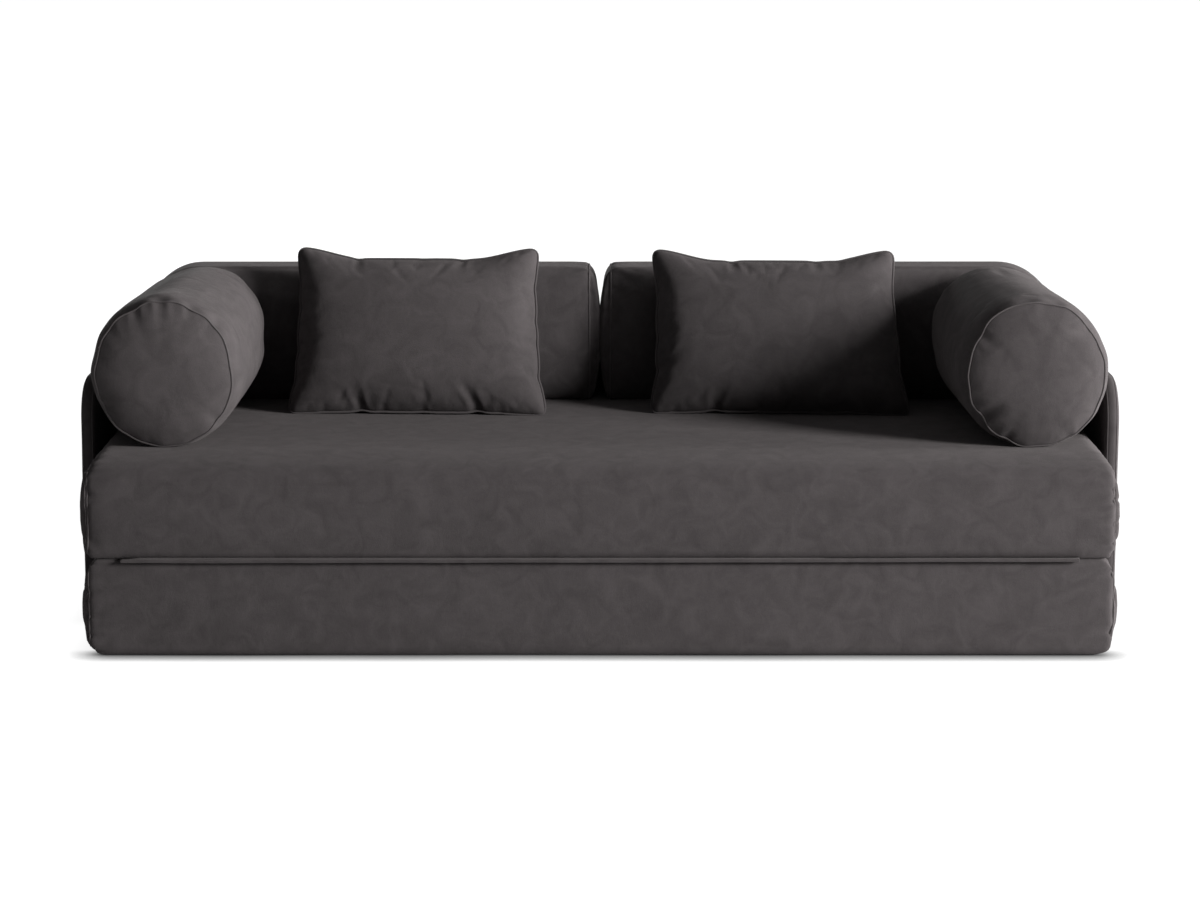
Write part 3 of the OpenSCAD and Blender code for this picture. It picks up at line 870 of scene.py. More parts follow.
@dataclass
class WrappedBlock:
    """A filled block whose cover wraps its front, top and back, with a sewn panel at each end."""

    low: Vector
    high: Vector
    top_front: EdgeRound
    top_back: EdgeRound
    low_front: EdgeRound
    low_back: EdgeRound
    top_ends: dict[Side, EdgeRound]
    low_ends: dict[Side, EdgeRound]
    seam_insets: dict[Side, float]
    pleat_depths: dict[Side, float]
    bulge: Vector
    plan_r: float
    cuts: tuple[int, int, int]
    crowding: tuple[float, float, float] = (1.5, 1.8, 1.25)
    pleat_reach: float = 0.022
    pleats_per_m: float = 30.0
    outer_reach_share: float = 0.6
    fold_share: float = 0.24
    fold_power: float = 1.5
    valley: float = 0.0016
    valley_reach: float = 0.004
    ripple: float = 0.0
    ripple_reach: float = 0.011
    ripple_rest: float = 0.6
    ripples_per_m: float = 75.0
    ripple_seed: float = 5.0
    end_spread: float = 3.1
    end_squash: float = 0.8
    least_near: float = 0.02
    wave: float = 0.0022
    waves_per_m: float = 5.0
    foot_wave: float = 0.0
    foot_waves_per_m: float = 2.2
    front_fullness: int = 8
    end_fullness: int = 40
    flat_depth: float = 0.02
    flat_calm: float = 0.9
    seed: float = 3.0

    def __post_init__(self) -> None:
        """Works out the block's half size and its middle."""
        self.half = (self.high - self.low) / 2
        self.middle = (self.high + self.low) / 2

    def place(self, unit: Vector) -> Vector:
        """Where a point of the unit cube goes, about the block's middle."""
        front = unit.y < 0
        side = Side.LEFT if unit.x < 0 else Side.RIGHT
        half = self.half - Vector((self.bulge.x, self.bulge.y if front else self.bulge.z, 0.0))
        x, y, z = (math.copysign(h * (1.0 - (1.0 - abs(u)) ** k), u)
                   for u, h, k in zip(unit, half, self.crowding))
        inset_x, inset_y = half.x - abs(x), half.y - abs(y)
        top = math.hypot((self.top_front if front else self.top_back).drop(inset_y),
                         self.top_ends[side].drop(inset_x))
        sag = 1.0 + self.foot_wave * drift(Vector((x, 0.0, 0.0)), self.foot_waves_per_m, self.seed)
        foot = math.hypot((self.low_front if front else self.low_back).drop(inset_y) * sag,
                          self.low_ends[side].drop(inset_x))
        share = (z / half.z + 1.0) / 2.0
        lens = 1.0 - (2.0 * share - 1.0) ** 2
        if abs(unit.y) > 1 - SAME:
            swell = self.bulge.y if front else self.bulge.z
            y += math.copysign(lens * (1.0 - (x / half.x) ** self.front_fullness) * swell, y)
        if abs(unit.x) > 1 - SAME:
            x += math.copysign(lens * (1.0 - (y / half.y) ** self.end_fullness) * self.bulge.x, x)
        x, y = round_corner(x, y, self.half.x, self.half.y, self.plan_r)
        return Vector((x, y, foot - half.z + share * (2.0 * half.z - foot - top)))

    def freedom(self, co: Vector) -> float:
        """Keeps the flat underside and top from waving as much as the sides."""
        return 1.0 - self.flat_calm * smooth_step(self.half.z - self.flat_depth, self.half.z, abs(co.z))

    def shape(self) -> tuple[BMesh, list[list[BMVert]]]:
        """Makes the cover about its middle.

        Returns:
            The cover, and the vertices of its two end seams in order.
        """
        bm = grid_box(self.cuts)
        for vert in bm.verts:
            vert.co = self.place(vert.co)
        undulate(bm, self.wave, self.waves_per_m, self.seed, self.freedom)
        join_doubles(bm)
        rings = []
        for side in Side:
            at = Axis.X.unit * side.value * (self.half.x - self.seam_insets[side])
            rings.append(cut_ring(bm, at, Axis.X.unit))
        self.gather(bm)
        return bm, rings

    def gather(self, bm: BMesh) -> None:
        """Draws the cloth in along the end seams, in a valley with short pleats across it."""
        bm.normal_update()
        for vert in bm.verts:
            side = Side.LEFT if vert.co.x < 0 else Side.RIGHT
            gap = abs(vert.co.x) - (self.half.x - self.seam_insets[side])
            reach = self.pleat_reach * (self.outer_reach_share if gap > 0 else 1.0)
            near = bell(gap, reach)
            if near < self.least_near:
                continue
            along = Vector((side.value * self.end_spread, vert.co.y, self.end_squash * vert.co.z))
            lie = abs(drift(along, self.pleats_per_m, self.seed))
            fold = max(0.0, 1.0 - lie / self.fold_share) ** self.fold_power
            depth = self.pleat_depths[side] * near * fold + self.valley * bell(gap, self.valley_reach)
            rise = self.ripple_rest + drift(along, self.ripples_per_m, self.seed + self.ripple_seed)
            depth += self.ripple * rise * bell(gap, self.ripple_reach)
            vert.co -= vert.normal * depth


# Sub-assemblies


@dataclass
class FoamSlab:
    """One of the two foam slabs in its velvet cover, which has no seam along its front."""

    body: str
    top_front: EdgeRound
    low_front: EdgeRound
    top_end: EdgeRound
    low_end: EdgeRound
    seed: float
    back_edge: EdgeRound = EdgeRound(0.014, 0.014)
    seam_insets: dict[Side, float] = by_side(0.015, 0.009)
    pleat_depths: dict[Side, float] = by_side(0.005, 0.0045)
    bulge: Vector = vector_of(0.006, 0.004, 0.0)
    plan_r: float = 0.024
    ripple: float = 0.0018
    front_room: float = 0.0017
    piping_r: float = 0.0021
    foot_wave: float = 0.45
    fill: float = 0.9
    cuts: tuple[int, int, int] = (150, 110, 30)

    def build(self) -> None:
        """Makes the cover with its end piping and its zip pocket."""
        low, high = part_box(f"{self.body}_cover")
        low.y += self.front_room
        block = WrappedBlock(low, high, self.top_front, self.back_edge, self.low_front, self.back_edge,
                             dict.fromkeys(Side, self.top_end), dict.fromkeys(Side, self.low_end),
                             self.seam_insets, self.pleat_depths, self.bulge, self.plan_r, self.cuts,
                             ripple=self.ripple, foot_wave=self.foot_wave, seed=self.seed)
        bm, rings = block.shape()
        bmesh.ops.translate(bm, vec=block.middle, verts=bm.verts)
        loops = [[vert.co.copy() for vert in ring] for ring in rings]
        sink_pocket(bm, f"{self.body}_zip", Axis.Y.unit, Axis.X)
        join_doubles(bm)
        cover = to_piece(f"{self.body}_slab_cover", bm)
        dress(cover, COVER_VELVET, self.body, [f"{self.body}_cover"])
        lay_piping(f"{self.body}_slab_piping", loops, self.piping_r, self.body)


BASE_SLAB = FoamSlab("base", seed=3.0,
                     top_front=EdgeRound(0.011, 0.012), low_front=EdgeRound(0.022, 0.022),
                     top_end=EdgeRound(0.030, 0.048), low_end=EdgeRound(0.036, 0.040))
SEAT_SLAB = FoamSlab("seat", seed=8.0,
                     top_front=EdgeRound(0.14, 0.044, 0.263), low_front=EdgeRound(0.013, 0.022),
                     top_end=EdgeRound(0.036, 0.038), low_end=EdgeRound(0.022, 0.020))
SIDE_CORNER_R = 0.085


@dataclass
class PaddedPanel:
    """A board of the shell in its padded cover, with piping along both faces."""

    node: str
    across: Axis
    front_corner_r: float = 0.0
    edge_r: float = 0.0125
    piping_inset: float = 0.0048
    piping_r: float = 0.0016
    spacing: float = 0.03
    wave: float = 0.0008
    waves_per_m: float = 9.0
    fill: float = 0.5
    outline_angle: float = math.radians(30)

    def build(self) -> None:
        """Makes the cover and its piping."""
        low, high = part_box(self.node)
        bm = box_mesh(low, high)
        if self.front_corner_r:
            self.round_front(bm, low, high)
        outline = [edge for edge in bm.edges if edge.calc_face_angle() > self.outline_angle]
        bevel(bm, outline, self.edge_r, 6)
        for axis in Axis:
            if axis is not self.across:
                slice_grid(bm, axis, self.spacing)
        undulate(bm, self.wave, self.waves_per_m, low.x)
        join_doubles(bm)
        loops = []
        for sign, edge in ((1, low), (-1, high)):
            at = edge + self.across.unit * sign * self.piping_inset
            loops.append([vert.co.copy() for vert in cut_ring(bm, at, self.across.unit)])
        cover = to_piece(f"{self.node}_pad", bm)
        dress(cover, COVER_VELVET, "base", [self.node])
        lay_piping(f"{self.node}_piping", loops, self.piping_r, "base")

    def round_front(self, bm: BMesh, low: Vector, high: Vector) -> None:
        """Rounds the upper front corner seen from the side."""
        corner = [edge for edge in edges_along(bm, Axis.X)
                  if lies_at(edge, Axis.Y, low.y) and lies_at(edge, Axis.Z, high.z)]
        bevel(bm, corner, self.front_corner_r, 14, clamp=False)


@dataclass
class FabricHinge:
    """The strip of fabric along the front joint that the seat slab turns about."""

    spacing: float = 0.02
    half_h: float = 0.0029
    end_share: float = 0.96
    rim_share: float = 0.35
    flange_r: float = 0.0006
    sag: float = 0.0012
    waver: float = 0.0007
    wavers_per_m: float = 7.0
    seed: float = 5.0

    def build(self) -> None:
        """Makes the rolled bead on the base slab and the sewn flange on the seat slab."""
        low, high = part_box("hinge_band")
        pivot_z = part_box("seat_cover")[0].z
        low.z, high.z = pivot_z - self.half_h, pivot_z + self.half_h
        bm = box_mesh(low, high)
        bevel(bm, edges_along(bm, Axis.Y), self.half_h * self.end_share, 6)
        rim = [edge for edge in bm.edges if lies_at(edge, Axis.Y, low.y)]
        bevel(bm, rim, self.half_h * self.rim_share, 3)
        slice_grid(bm, Axis.X, self.spacing)
        for vert in bm.verts:
            along = vert.co.x / high.x
            way = drift(Vector((vert.co.x, 0.0, 0.0)), self.wavers_per_m, self.seed)
            vert.co.z += self.sag * along + self.waver * way
        join_doubles(bm)
        band = to_piece("hinge_bead", bm)
        dress(band, COVER_VELVET, "base", ["hinge_band"])
        self.build_flange()

    def build_flange(self) -> None:
        """Makes the strip that is sewn under the seat slab's front edge."""
        low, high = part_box("hinge_flange")
        bm = box_mesh(low, high)
        bevel(bm, edges_along(bm, Axis.X), self.flange_r, 2)
        slice_grid(bm, Axis.X, self.spacing * 2)
        join_doubles(bm)
        flange = to_piece("hinge_flange_strip", bm)
        dress(flange, TRIM_VELVET, "seat", ["hinge_flange"])


@dataclass
class BackCushion:
    """A soft back cushion whose cover wraps it, with a piped panel at each end."""

    side: Side
    top_edge: EdgeRound = EdgeRound(0.034, 0.032)
    rear_edge: EdgeRound = EdgeRound(0.012, 0.007)
    low_edge: EdgeRound = EdgeRound(0.034, 0.036)
    outer_top: EdgeRound = EdgeRound(0.125, 0.125)
    outer_low: EdgeRound = EdgeRound(0.030, 0.040)
    inner_top: EdgeRound = EdgeRound(0.026, 0.062)
    inner_low: EdgeRound = EdgeRound(0.018, 0.080, 0.6)
    bulge: Vector = vector_of(0.003, 0.012, 0.005)
    crown: float = 0.003
    gap: float = 0.0048
    seam_insets: tuple[float, float] = (0.022, 0.021)
    pleat_depths: tuple[float, float] = (0.003, 0.0028)
    pleat_reach: float = 0.020
    plan_r: float = 0.026
    wave: float = 0.0016
    seed: float = 11.0
    seed_step: float = 4.0
    flat_foot: float = 0.002
    fill: float = 0.8
    cuts: tuple[int, int, int] = (96, 22, 30)
    crowding: tuple[float, float, float] = (1.35, 1.2, 1.1)
    piping_r: float = 0.0024
    inflation: Inflation = Inflation(pressure=3.0, frames=16, slack=0.004, cap=0.006, bending=0.5)

    @property
    def body(self) -> str:
        """The body that the cushion is."""
        return f"back_cushion_{self.side.word}"

    @property
    def node(self) -> str:
        """The node that the cushion stands for."""
        return f"back_cushion_cover_{self.side.word}"

    def block(self) -> WrappedBlock:
        """The cushion's form before it is blown up."""
        low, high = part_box(self.node)
        high.z += self.crown
        if self.side is Side.LEFT:
            high.x += self.gap
            ends = (Side.LEFT, Side.RIGHT)
        else:
            low.x -= self.gap
            ends = (Side.RIGHT, Side.LEFT)
        tops = dict(zip(ends, (self.outer_top, self.inner_top)))
        lows = dict(zip(ends, (self.outer_low, self.inner_low)))
        insets = dict(zip(ends, self.seam_insets))
        depths = dict(zip(ends, self.pleat_depths))
        seed = self.seed + self.seed_step * self.side.value
        return WrappedBlock(low, high, self.top_edge, self.rear_edge, self.low_edge, self.low_edge,
                            tops, lows, insets, depths, self.bulge, self.plan_r, self.cuts, self.crowding,
                            self.pleat_reach, wave=self.wave, seed=seed)

    def build(self) -> None:
        """Makes the cover by simulation and lays the piping along its seams."""
        block = self.block()
        bm, rings = block.shape()
        bm.verts.index_update()
        order = [[vert.index for vert in ring] for ring in rings]
        pressed = [vert.index for vert in bm.verts
                   if vert.co.y > -block.half.y / 3 or vert.co.z < self.flat_foot - block.half.z]
        cover = to_piece(self.body, bm)
        self.inflation.apply(cover, {*pressed, *(index for ring in order for index in ring)})
        settle(cover, -block.half, block.half, Axis.Y)
        cover.data.transform(Matrix.Translation(block.middle))
        loops = [[cover.data.vertices[index].co.copy() for index in ring] for ring in order]
        refine(cover)
        open_pocket(cover, f"back_cushion_zip_{self.side.word}", Axis.Y.unit, Axis.X)
        dress(cover, COVER_VELVET, self.body, [self.node])
        lay_piping(f"{self.body}_piping", loops, self.piping_r, self.body)


@dataclass
class Bolster:
    """A round bolster: a gathered tube between two piped discs."""

    side: Side
    end_r: float = 0.139
    end_shares: tuple[float, float] = (0.962, 1.030)
    swells: tuple[float, float] = (0.0143, 0.0080)
    groove: float = 0.0022
    shoulder: float = 0.080
    disc_crown: float = 0.025
    rear_rise: float = 0.004
    rear_turn: float = math.radians(40)
    rear_lean: float = 0.020
    rear_shift: dict[Side, float] = by_side(0.003, 0.010)
    zip_turn: float = math.radians(35)
    cuts: tuple[int, int, int] = (48, 90, 48)
    piping_r: float = 0.0019
    waver: float = 0.0052
    wavers_per_unit: float = 3.6
    waver_seed: float = 4.0
    calm_share: float = 0.30
    crown_power: float = 3.4
    swell_power: float = 2.5
    groove_start: float = 0.002
    groove_reach: float = 0.009
    rear_pleats: float = 0.4
    kink_power: int = 12
    rim_guard: float = 0.008
    give: float = 0.006
    fill: float = 0.85
    inflation: Inflation = Inflation(pressure=4.0, frames=18, slack=0.0014, calm_slack=0.001, cap=0.004,
                                     bending=1.6)
    disc_creases: dict[Side, tuple[Crease, ...]] = field(default_factory=lambda: {
        Side.LEFT: (Crease(92, 0.046, 0.005, 0.015), Crease(114, 0.048, 0.0045, 0.015, 0.1),
                    Crease(66, 0.030, 0.0018, 0.014), Crease(140, 0.036, 0.0018, 0.014),
                    Crease(206, 0.040, 0.004, 0.013), Crease(322, 0.030, 0.003, 0.012)),
        Side.RIGHT: (Crease(217, 0.062, 0.010, 0.016, 0.2), Crease(244, 0.034, 0.004, 0.012),
                     Crease(146, 0.036, 0.004, 0.012), Crease(300, 0.032, 0.003, 0.013),
                     Crease(40, 0.026, 0.003, 0.010)),
    })
    tube_creases: dict[Side, tuple[Crease, ...]] = field(default_factory=lambda: {
        Side.LEFT: (Crease(92, 0.060, 0.005, 0.012, 0.2), Crease(66, 0.050, 0.004, 0.011, 0.2),
                    Crease(43, 0.055, 0.006, 0.011, -0.2), Crease(24, 0.045, 0.004, 0.010)),
        Side.RIGHT: (Crease(98, 0.095, 0.004, 0.015, -0.3), Crease(72, 0.060, 0.003, 0.012, 0.3),
                     Crease(46, 0.045, 0.004, 0.010), Crease(190, 0.045, 0.003, 0.012)),
    })

    @property
    def node(self) -> str:
        """The node that the bolster stands for."""
        return f"bolster_cover_{self.side.word}"

    @staticmethod
    def angle_of(unit: Vector) -> float:
        """The angle round the bolster's axis of a point of the unit cube."""
        if abs(unit.x) >= abs(unit.z):
            return math.pi / 4 * unit.z / unit.x + (math.pi if unit.x < 0 else 0.0)
        return math.pi / 2 - math.pi / 4 * unit.x / unit.z + (math.pi if unit.z < 0 else 0.0)

    @staticmethod
    def turn_from(crease: Crease, angle: float) -> float:
        """The angle from a pleat's foot, between minus half a turn and half a turn."""
        return (angle - math.radians(crease.at) + math.pi) % math.tau - math.pi

    def dent(self, creases: Sequence[Crease], angle: float, away: float) -> float:
        """The sum of what some pleats take at an angle and a distance from the seam."""
        total = 0.0
        for crease in creases:
            total += crease.dent(self.turn_from(crease, angle) * self.end_r, away)
        return total

    def kink(self, angle: float, end: float) -> float:
        """How far the seams are drawn in at an angle; the rear end's pleats are weaker."""
        total = 0.0
        for crease in (*self.disc_creases[self.side], *self.tube_creases[self.side]):
            turn = self.turn_from(crease, angle + self.rear_turn * (end > 0))
            total += crease.kink(turn * self.end_r)
        return total * (self.rear_pleats if end > 0 else 1.0) * abs(end) ** self.kink_power

    def place(self, unit: Vector) -> Vector:
        """Where a point of the unit cube goes on the bolster, about its middle."""
        reach = max(abs(unit.x), abs(unit.z))
        if reach < TINY:
            return Vector((0.0, math.copysign(self.half_l + self.disc_crown, unit.y), 0.0))
        angle = self.angle_of(unit)
        around = Vector((math.cos(angle), self.calm_share * (unit.y + 1.0) - 1.0, math.sin(angle)))
        waver = self.waver * drift(around, self.wavers_per_unit, self.waver_seed + self.side.value)
        rim = self.end_r + waver - self.kink(angle, unit.y)
        spread = [rim * share for share in self.end_shares]
        if abs(unit.y) > 1 - SAME:
            spread = [radius * reach for radius in spread]
            y = self.half_l + self.disc_crown * (1.0 - reach ** self.crown_power)
        else:
            y = self.half_l * abs(unit.y)
            away = self.half_l - y
            rise = 1.0 - (1.0 - min(1.0, away / self.shoulder)) ** self.swell_power
            dip = self.groove * (1.0 - math.exp(-away / self.groove_start)) * bell(away, self.groove_reach)
            spread = [radius + swell * rise - dip for radius, swell in zip(spread, self.swells)]
        return Vector((spread[0] * math.cos(angle), math.copysign(y, unit.y), spread[1] * math.sin(angle)))

    def crease(self, cover: Object, units: Sequence[Vector]) -> None:
        """Presses the pleats into the discs and the tube beside both seams."""
        for vert, unit in zip(cover.data.vertices, units):
            reach = max(abs(unit.x), abs(unit.z))
            if reach < TINY:
                continue
            angle = self.angle_of(unit)
            strength = 1.0
            if unit.y > 0:
                angle += self.rear_turn
                strength = self.rear_pleats
            if abs(unit.y) > 1 - SAME:
                depth = self.dent(self.disc_creases[self.side], angle, self.end_r * (1.0 - reach))
                vert.co.y -= math.copysign(depth, unit.y)
            else:
                away = self.half_l * (1.0 - abs(unit.y))
                depth = strength * self.dent(self.tube_creases[self.side], angle, away)
                depth *= min(1.0, away / self.rim_guard)
                outward = Vector((vert.co.x, 0.0, vert.co.z)).normalized()
                vert.co -= outward * depth

    def build(self) -> None:
        """Makes the cover by simulation and lays the piping round its ends."""
        low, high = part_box(self.node)
        middle = (low + high) / 2
        middle.z = low.z + self.end_r * self.end_shares[1]
        self.half_l = (high.y - low.y) / 2 - self.disc_crown
        bm = grid_box(self.cuts)
        bm.verts.index_update()
        rims = []
        for sign in (-1, 1):
            edges = [edge for edge in bm.edges if self.on_rim(edge, sign)]
            rims.append([vert.index for vert in walk_verts(edges)])
        units = [vert.co.copy() for vert in bm.verts]
        for vert in bm.verts:
            vert.co = self.place(vert.co)
        bmesh.ops.recalc_face_normals(bm, faces=bm.faces)
        body = f"bolster_{self.side.word}"
        cover = to_piece(f"{body}_cover", bm)
        discs = [i for i, unit in enumerate(units) if abs(unit.y) > 1 - SAME]
        self.inflation.apply(cover, [index for rim in rims for index in rim], discs)
        self.crease(cover, units)
        self.rest_on_seat(cover)
        cover.data.transform(Matrix.Translation(middle))
        loops = [[cover.data.vertices[index].co.copy() for index in rim] for rim in rims]
        refine(cover)
        out = Vector((self.side.value * math.cos(self.zip_turn), 0.0, -math.sin(self.zip_turn)))
        open_pocket(cover, f"bolster_zip_{self.side.word}", out, Axis.Y)
        # On the left this is the paler velvet, which is painted light.
        dress(cover, LOOSE_VELVET[self.side], body, [self.node])
        lay_piping(f"{body}_end_piping", loops, self.piping_r, body, [f"bolster_piping_{self.side.word}"])

    @staticmethod
    def on_rim(edge: BMEdge, sign: int) -> bool:
        """Whether an edge of the unit cube lies on the rim of its front or rear face."""
        flanks = [(axis, way) for axis in (Axis.X, Axis.Z) for way in (-1, 1)]
        return lies_at(edge, Axis.Y, sign) and any(lies_at(edge, axis, way) for axis, way in flanks)

    def rest_on_seat(self, cover: Object) -> None:
        """Flattens the underside on the seat, and lifts and turns the rear end a little."""
        foot = -self.end_r * self.end_shares[1]
        for vert in cover.data.vertices:
            over = self.give + foot - vert.co.z
            if over > 0:
                vert.co.z += over - self.give * (1.0 - math.exp(-over / self.give))
            back = smooth_step(-self.half_l, self.half_l, vert.co.y)
            lean = self.rear_lean * max(0.0, vert.co.z) / self.end_r
            vert.co.z += self.rear_rise * back * (vert.co.z - foot) / self.end_r / 2
            vert.co.x -= self.side.value * back * (self.rear_shift[self.side] + lean)


class PillowEdge(Enum):
    """The four edges of a throw pillow: which plan axis they cross and their sign there."""

    LEFT = (0, -1)
    RIGHT = (0, 1)
    BOTTOM = (1, -1)
    TOP = (1, 1)


LEFT_PILLOW = {
    PillowEdge.BOTTOM: (Crease(-0.73, 0.026, 0.003, 0.009), Crease(-0.43, 0.062, 0.012, 0.011, -0.35),
                        Crease(-0.26, 0.034, 0.003, 0.009), Crease(0.05, 0.036, 0.004, 0.010),
                        Crease(0.47, 0.070, 0.013, 0.012, -0.4), Crease(0.64, 0.030, 0.003, 0.009)),
    PillowEdge.TOP: (Crease(-0.50, 0.044, 0.008, 0.009, 0.2), Crease(0.38, 0.052, 0.008, 0.011, -0.3),
                     Crease(0.05, 0.026, 0.002, 0.010)),
    PillowEdge.LEFT: (Crease(0.25, 0.060, 0.006, 0.014), Crease(-0.25, 0.085, 0.009, 0.015, 0.5),
                      Crease(-0.62, 0.070, 0.007, 0.012, 0.5)),
    PillowEdge.RIGHT: (Crease(0.52, 0.040, 0.005, 0.010), Crease(0.12, 0.045, 0.007, 0.011),
                       Crease(-0.16, 0.045, 0.005, 0.011), Crease(-0.56, 0.060, 0.009, 0.012, 0.4)),
}
RIGHT_PILLOW = {
    PillowEdge.BOTTOM: (Crease(-0.82, 0.030, 0.003, 0.010), Crease(-0.51, 0.070, 0.011, 0.013, 0.3),
                        Crease(-0.18, 0.034, 0.003, 0.010), Crease(0.16, 0.034, 0.003, 0.010),
                        Crease(0.52, 0.040, 0.004, 0.011)),
    PillowEdge.TOP: (Crease(-0.34, 0.050, 0.010, 0.010, 0.2), Crease(0.36, 0.046, 0.006, 0.011),
                     Crease(0.55, 0.032, 0.004, 0.009)),
    PillowEdge.LEFT: (Crease(0.35, 0.065, 0.007, 0.014, -0.3), Crease(-0.10, 0.080, 0.009, 0.015, 0.3),
                      Crease(-0.50, 0.090, 0.010, 0.014, 0.6)),
    PillowEdge.RIGHT: (Crease(0.05, 0.050, 0.005, 0.012), Crease(-0.45, 0.080, 0.007, 0.012, 0.5)),
}


@dataclass
class ThrowPillow:
    """A stuffed knife-edge pillow with piping round its seam."""

    side: Side
    width: float = 0.534
    heights: dict[Side, float] = by_side(0.352, 0.347)
    thickness: float = 0.150
    taper: float = 0.017
    shear: dict[Side, float] = by_side(0.007, 0.018)
    pull_top: float = 0.024
    pull_bottom: float = 0.005
    pull_side: float = 0.010
    ear_r: float = 0.013
    ear_share: float = 0.55
    seam: float = 0.006
    lean: float = math.radians(20)
    turn: float = math.radians(3)
    sag: float = 0.06
    across_power: float = 2.4
    up_power: float = 2.5
    roundness: float = 0.50
    kink_reach: float = 0.015
    dent_room: float = 0.030
    spare_power: int = 3
    fill: float = 0.7
    cell: float = 0.0062
    piping_r: float = 0.0027
    piping_stand: float = 0.0014
    inflation: Inflation = Inflation(pressure=4.0, frames=20, slack=0.008, cap=0.018, bending=1.2)

    @property
    def node(self) -> str:
        """The node that the pillow stands for."""
        return f"pillow_cover_{self.side.word}"

    @property
    def height(self) -> float:
        """The pillow's height along its back."""
        return self.heights[self.side]

    @property
    def creases(self) -> dict[PillowEdge, tuple[Crease, ...]]:
        """The pleats of this pillow's edges."""
        return LEFT_PILLOW if self.side is Side.LEFT else RIGHT_PILLOW

    def plan(self, u: float, v: float) -> tuple[float, float]:
        """Where the shares u across and v up lie in the pillow's plan."""
        ear_u = 1.0 - smooth_step(1.0 - self.ear_share, 1.0, abs(u))
        ear_v = 1.0 - smooth_step(1.0 - self.ear_share, 1.0, abs(v))
        half_w = self.width / 2 - self.taper * (v + 1.0) / 2.0 - self.pull_side * ear_v
        half_h = self.height / 2 - (self.pull_top if v > 0 else self.pull_bottom) * ear_u
        x, y = round_corner(u * half_w, v * half_h, half_w, half_h, self.ear_r)
        return x - self.shear[self.side] * (v + 1.0) / 2.0, y

    def fullness(self, u: float, v: float) -> float:
        """The share of the pillow's thickness at a place, which is fullest a little below the middle."""
        low = v + self.sag * (1.0 - v * v)
        across = max(0.0, 1.0 - abs(u) ** self.across_power)
        return (across * max(0.0, 1.0 - abs(low) ** self.up_power)) ** self.roundness

    def edge_reach(self, edge: PillowEdge, u: float, v: float) -> tuple[float, float]:
        """The place along an edge and the distance from it, in metres, of a point in plan shares."""
        axis, sign = edge.value
        if axis == 0:
            return v * self.height / 2, (1.0 - sign * u) * self.width / 2
        return u * self.width / 2, (1.0 - sign * v) * self.height / 2

    def crease(self, cover: Object, shares: Sequence[tuple[float, float]]) -> None:
        """Presses the pleats into both faces and draws the seam in at their feet."""
        for vert, (u, v) in zip(cover.data.vertices, shares):
            dent, pull = 0.0, Vector()
            for edge, creases in self.creases.items():
                axis, sign = edge.value
                span = (self.height if axis == 0 else self.width) / 2
                place, away = self.edge_reach(edge, u, v)
                for crease in creases:
                    dent += crease.dent(place - crease.at * span, away)
                    kink = crease.kink(place - crease.at * span)
                    pull[axis] -= sign * kink * math.exp(-away / self.kink_reach)
            room = min(1.0, abs(vert.co.z) / self.dent_room)
            vert.co += pull
            vert.co.z -= math.copysign(dent * room, vert.co.z)

    def build(self) -> None:
        """Makes the cover by simulation and lays the piping along its seam."""
        bm = bmesh.new()
        columns, rows = round(self.width / self.cell), round(self.height / self.cell)
        bmesh.ops.create_grid(bm, x_segments=columns, y_segments=rows, size=1.0)
        front = walk_verts([edge for edge in bm.edges if edge.is_boundary])
        made = bmesh.ops.extrude_face_region(bm, geom=bm.faces[:])
        lifted = [item for item in made["geom"] if isinstance(item, BMVert)]
        bmesh.ops.translate(bm, vec=(0, 0, self.seam), verts=lifted)
        bmesh.ops.translate(bm, vec=(0, 0, -self.seam / 2), verts=bm.verts)
        bm.verts.index_update()
        order = [vert.index for vert in front]
        mates = {}
        for vert in front:
            mates[vert.index] = next(edge.other_vert(vert).index for edge in vert.link_edges
                                     if abs(edge.other_vert(vert).co.z - vert.co.z) > self.seam / 2)
        shares = [(vert.co.x, vert.co.y) for vert in bm.verts]
        for vert in bm.verts:
            u, v = vert.co.x, vert.co.y
            x, y = self.plan(u, v)
            rise = self.seam / 2 + (self.thickness / 2 - self.seam / 2) * self.fullness(u, v)
            vert.co = Vector((x, y, math.copysign(rise, vert.co.z)))
        bmesh.ops.recalc_face_normals(bm, faces=bm.faces)
        body = f"pillow_{self.side.word}"
        cover = to_piece(f"{body}_cover", bm)
        self.inflation.apply(cover, [*mates.keys(), *mates.values()])
        self.flatten(cover)
        self.crease(cover, shares)
        loop = [(cover.data.vertices[i].co + cover.data.vertices[mates[i]].co) / 2 for i in order]
        loop = [point + Vector((point.x, point.y, 0.0)).normalized() * self.piping_stand for point in loop]
        placing = self.placing(cover)
        cover.data.transform(placing)
        loop = [placing @ point for point in loop]
        refine(cover)
        # On the left this is the paler velvet, which is painted light.
        dress(cover, LOOSE_VELVET[self.side], body, [self.node])
        lay_piping(f"{body}_piping", [loop], self.piping_r, body)

    def flatten(self, cover: Object) -> None:
        """Brings the fullest part back to the pillow's thickness and leaves its flanks full."""
        most = max(abs(vert.co.z) for vert in cover.data.vertices)
        spare = most - self.thickness / 2
        for vert in cover.data.vertices:
            share = (abs(vert.co.z) / most) ** self.spare_power
            vert.co.z -= math.copysign(spare * share, vert.co.z)

    def placing(self, cover: Object) -> Matrix:
        """The turn and move that stand the pillow on the seat against the back cushion."""
        turned = Matrix.Rotation(-self.turn, 4, "Z") @ Matrix.Rotation(math.pi / 2 - self.lean, 4, "X")
        low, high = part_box(self.node)
        points = [turned @ vert.co for vert in cover.data.vertices]
        middle_x = (low.x + high.x) / 2
        back = max(point.y for point in points)
        bottom = min(point.z for point in points)
        return Matrix.Translation((middle_x, high.y - back, low.z - bottom)) @ turned


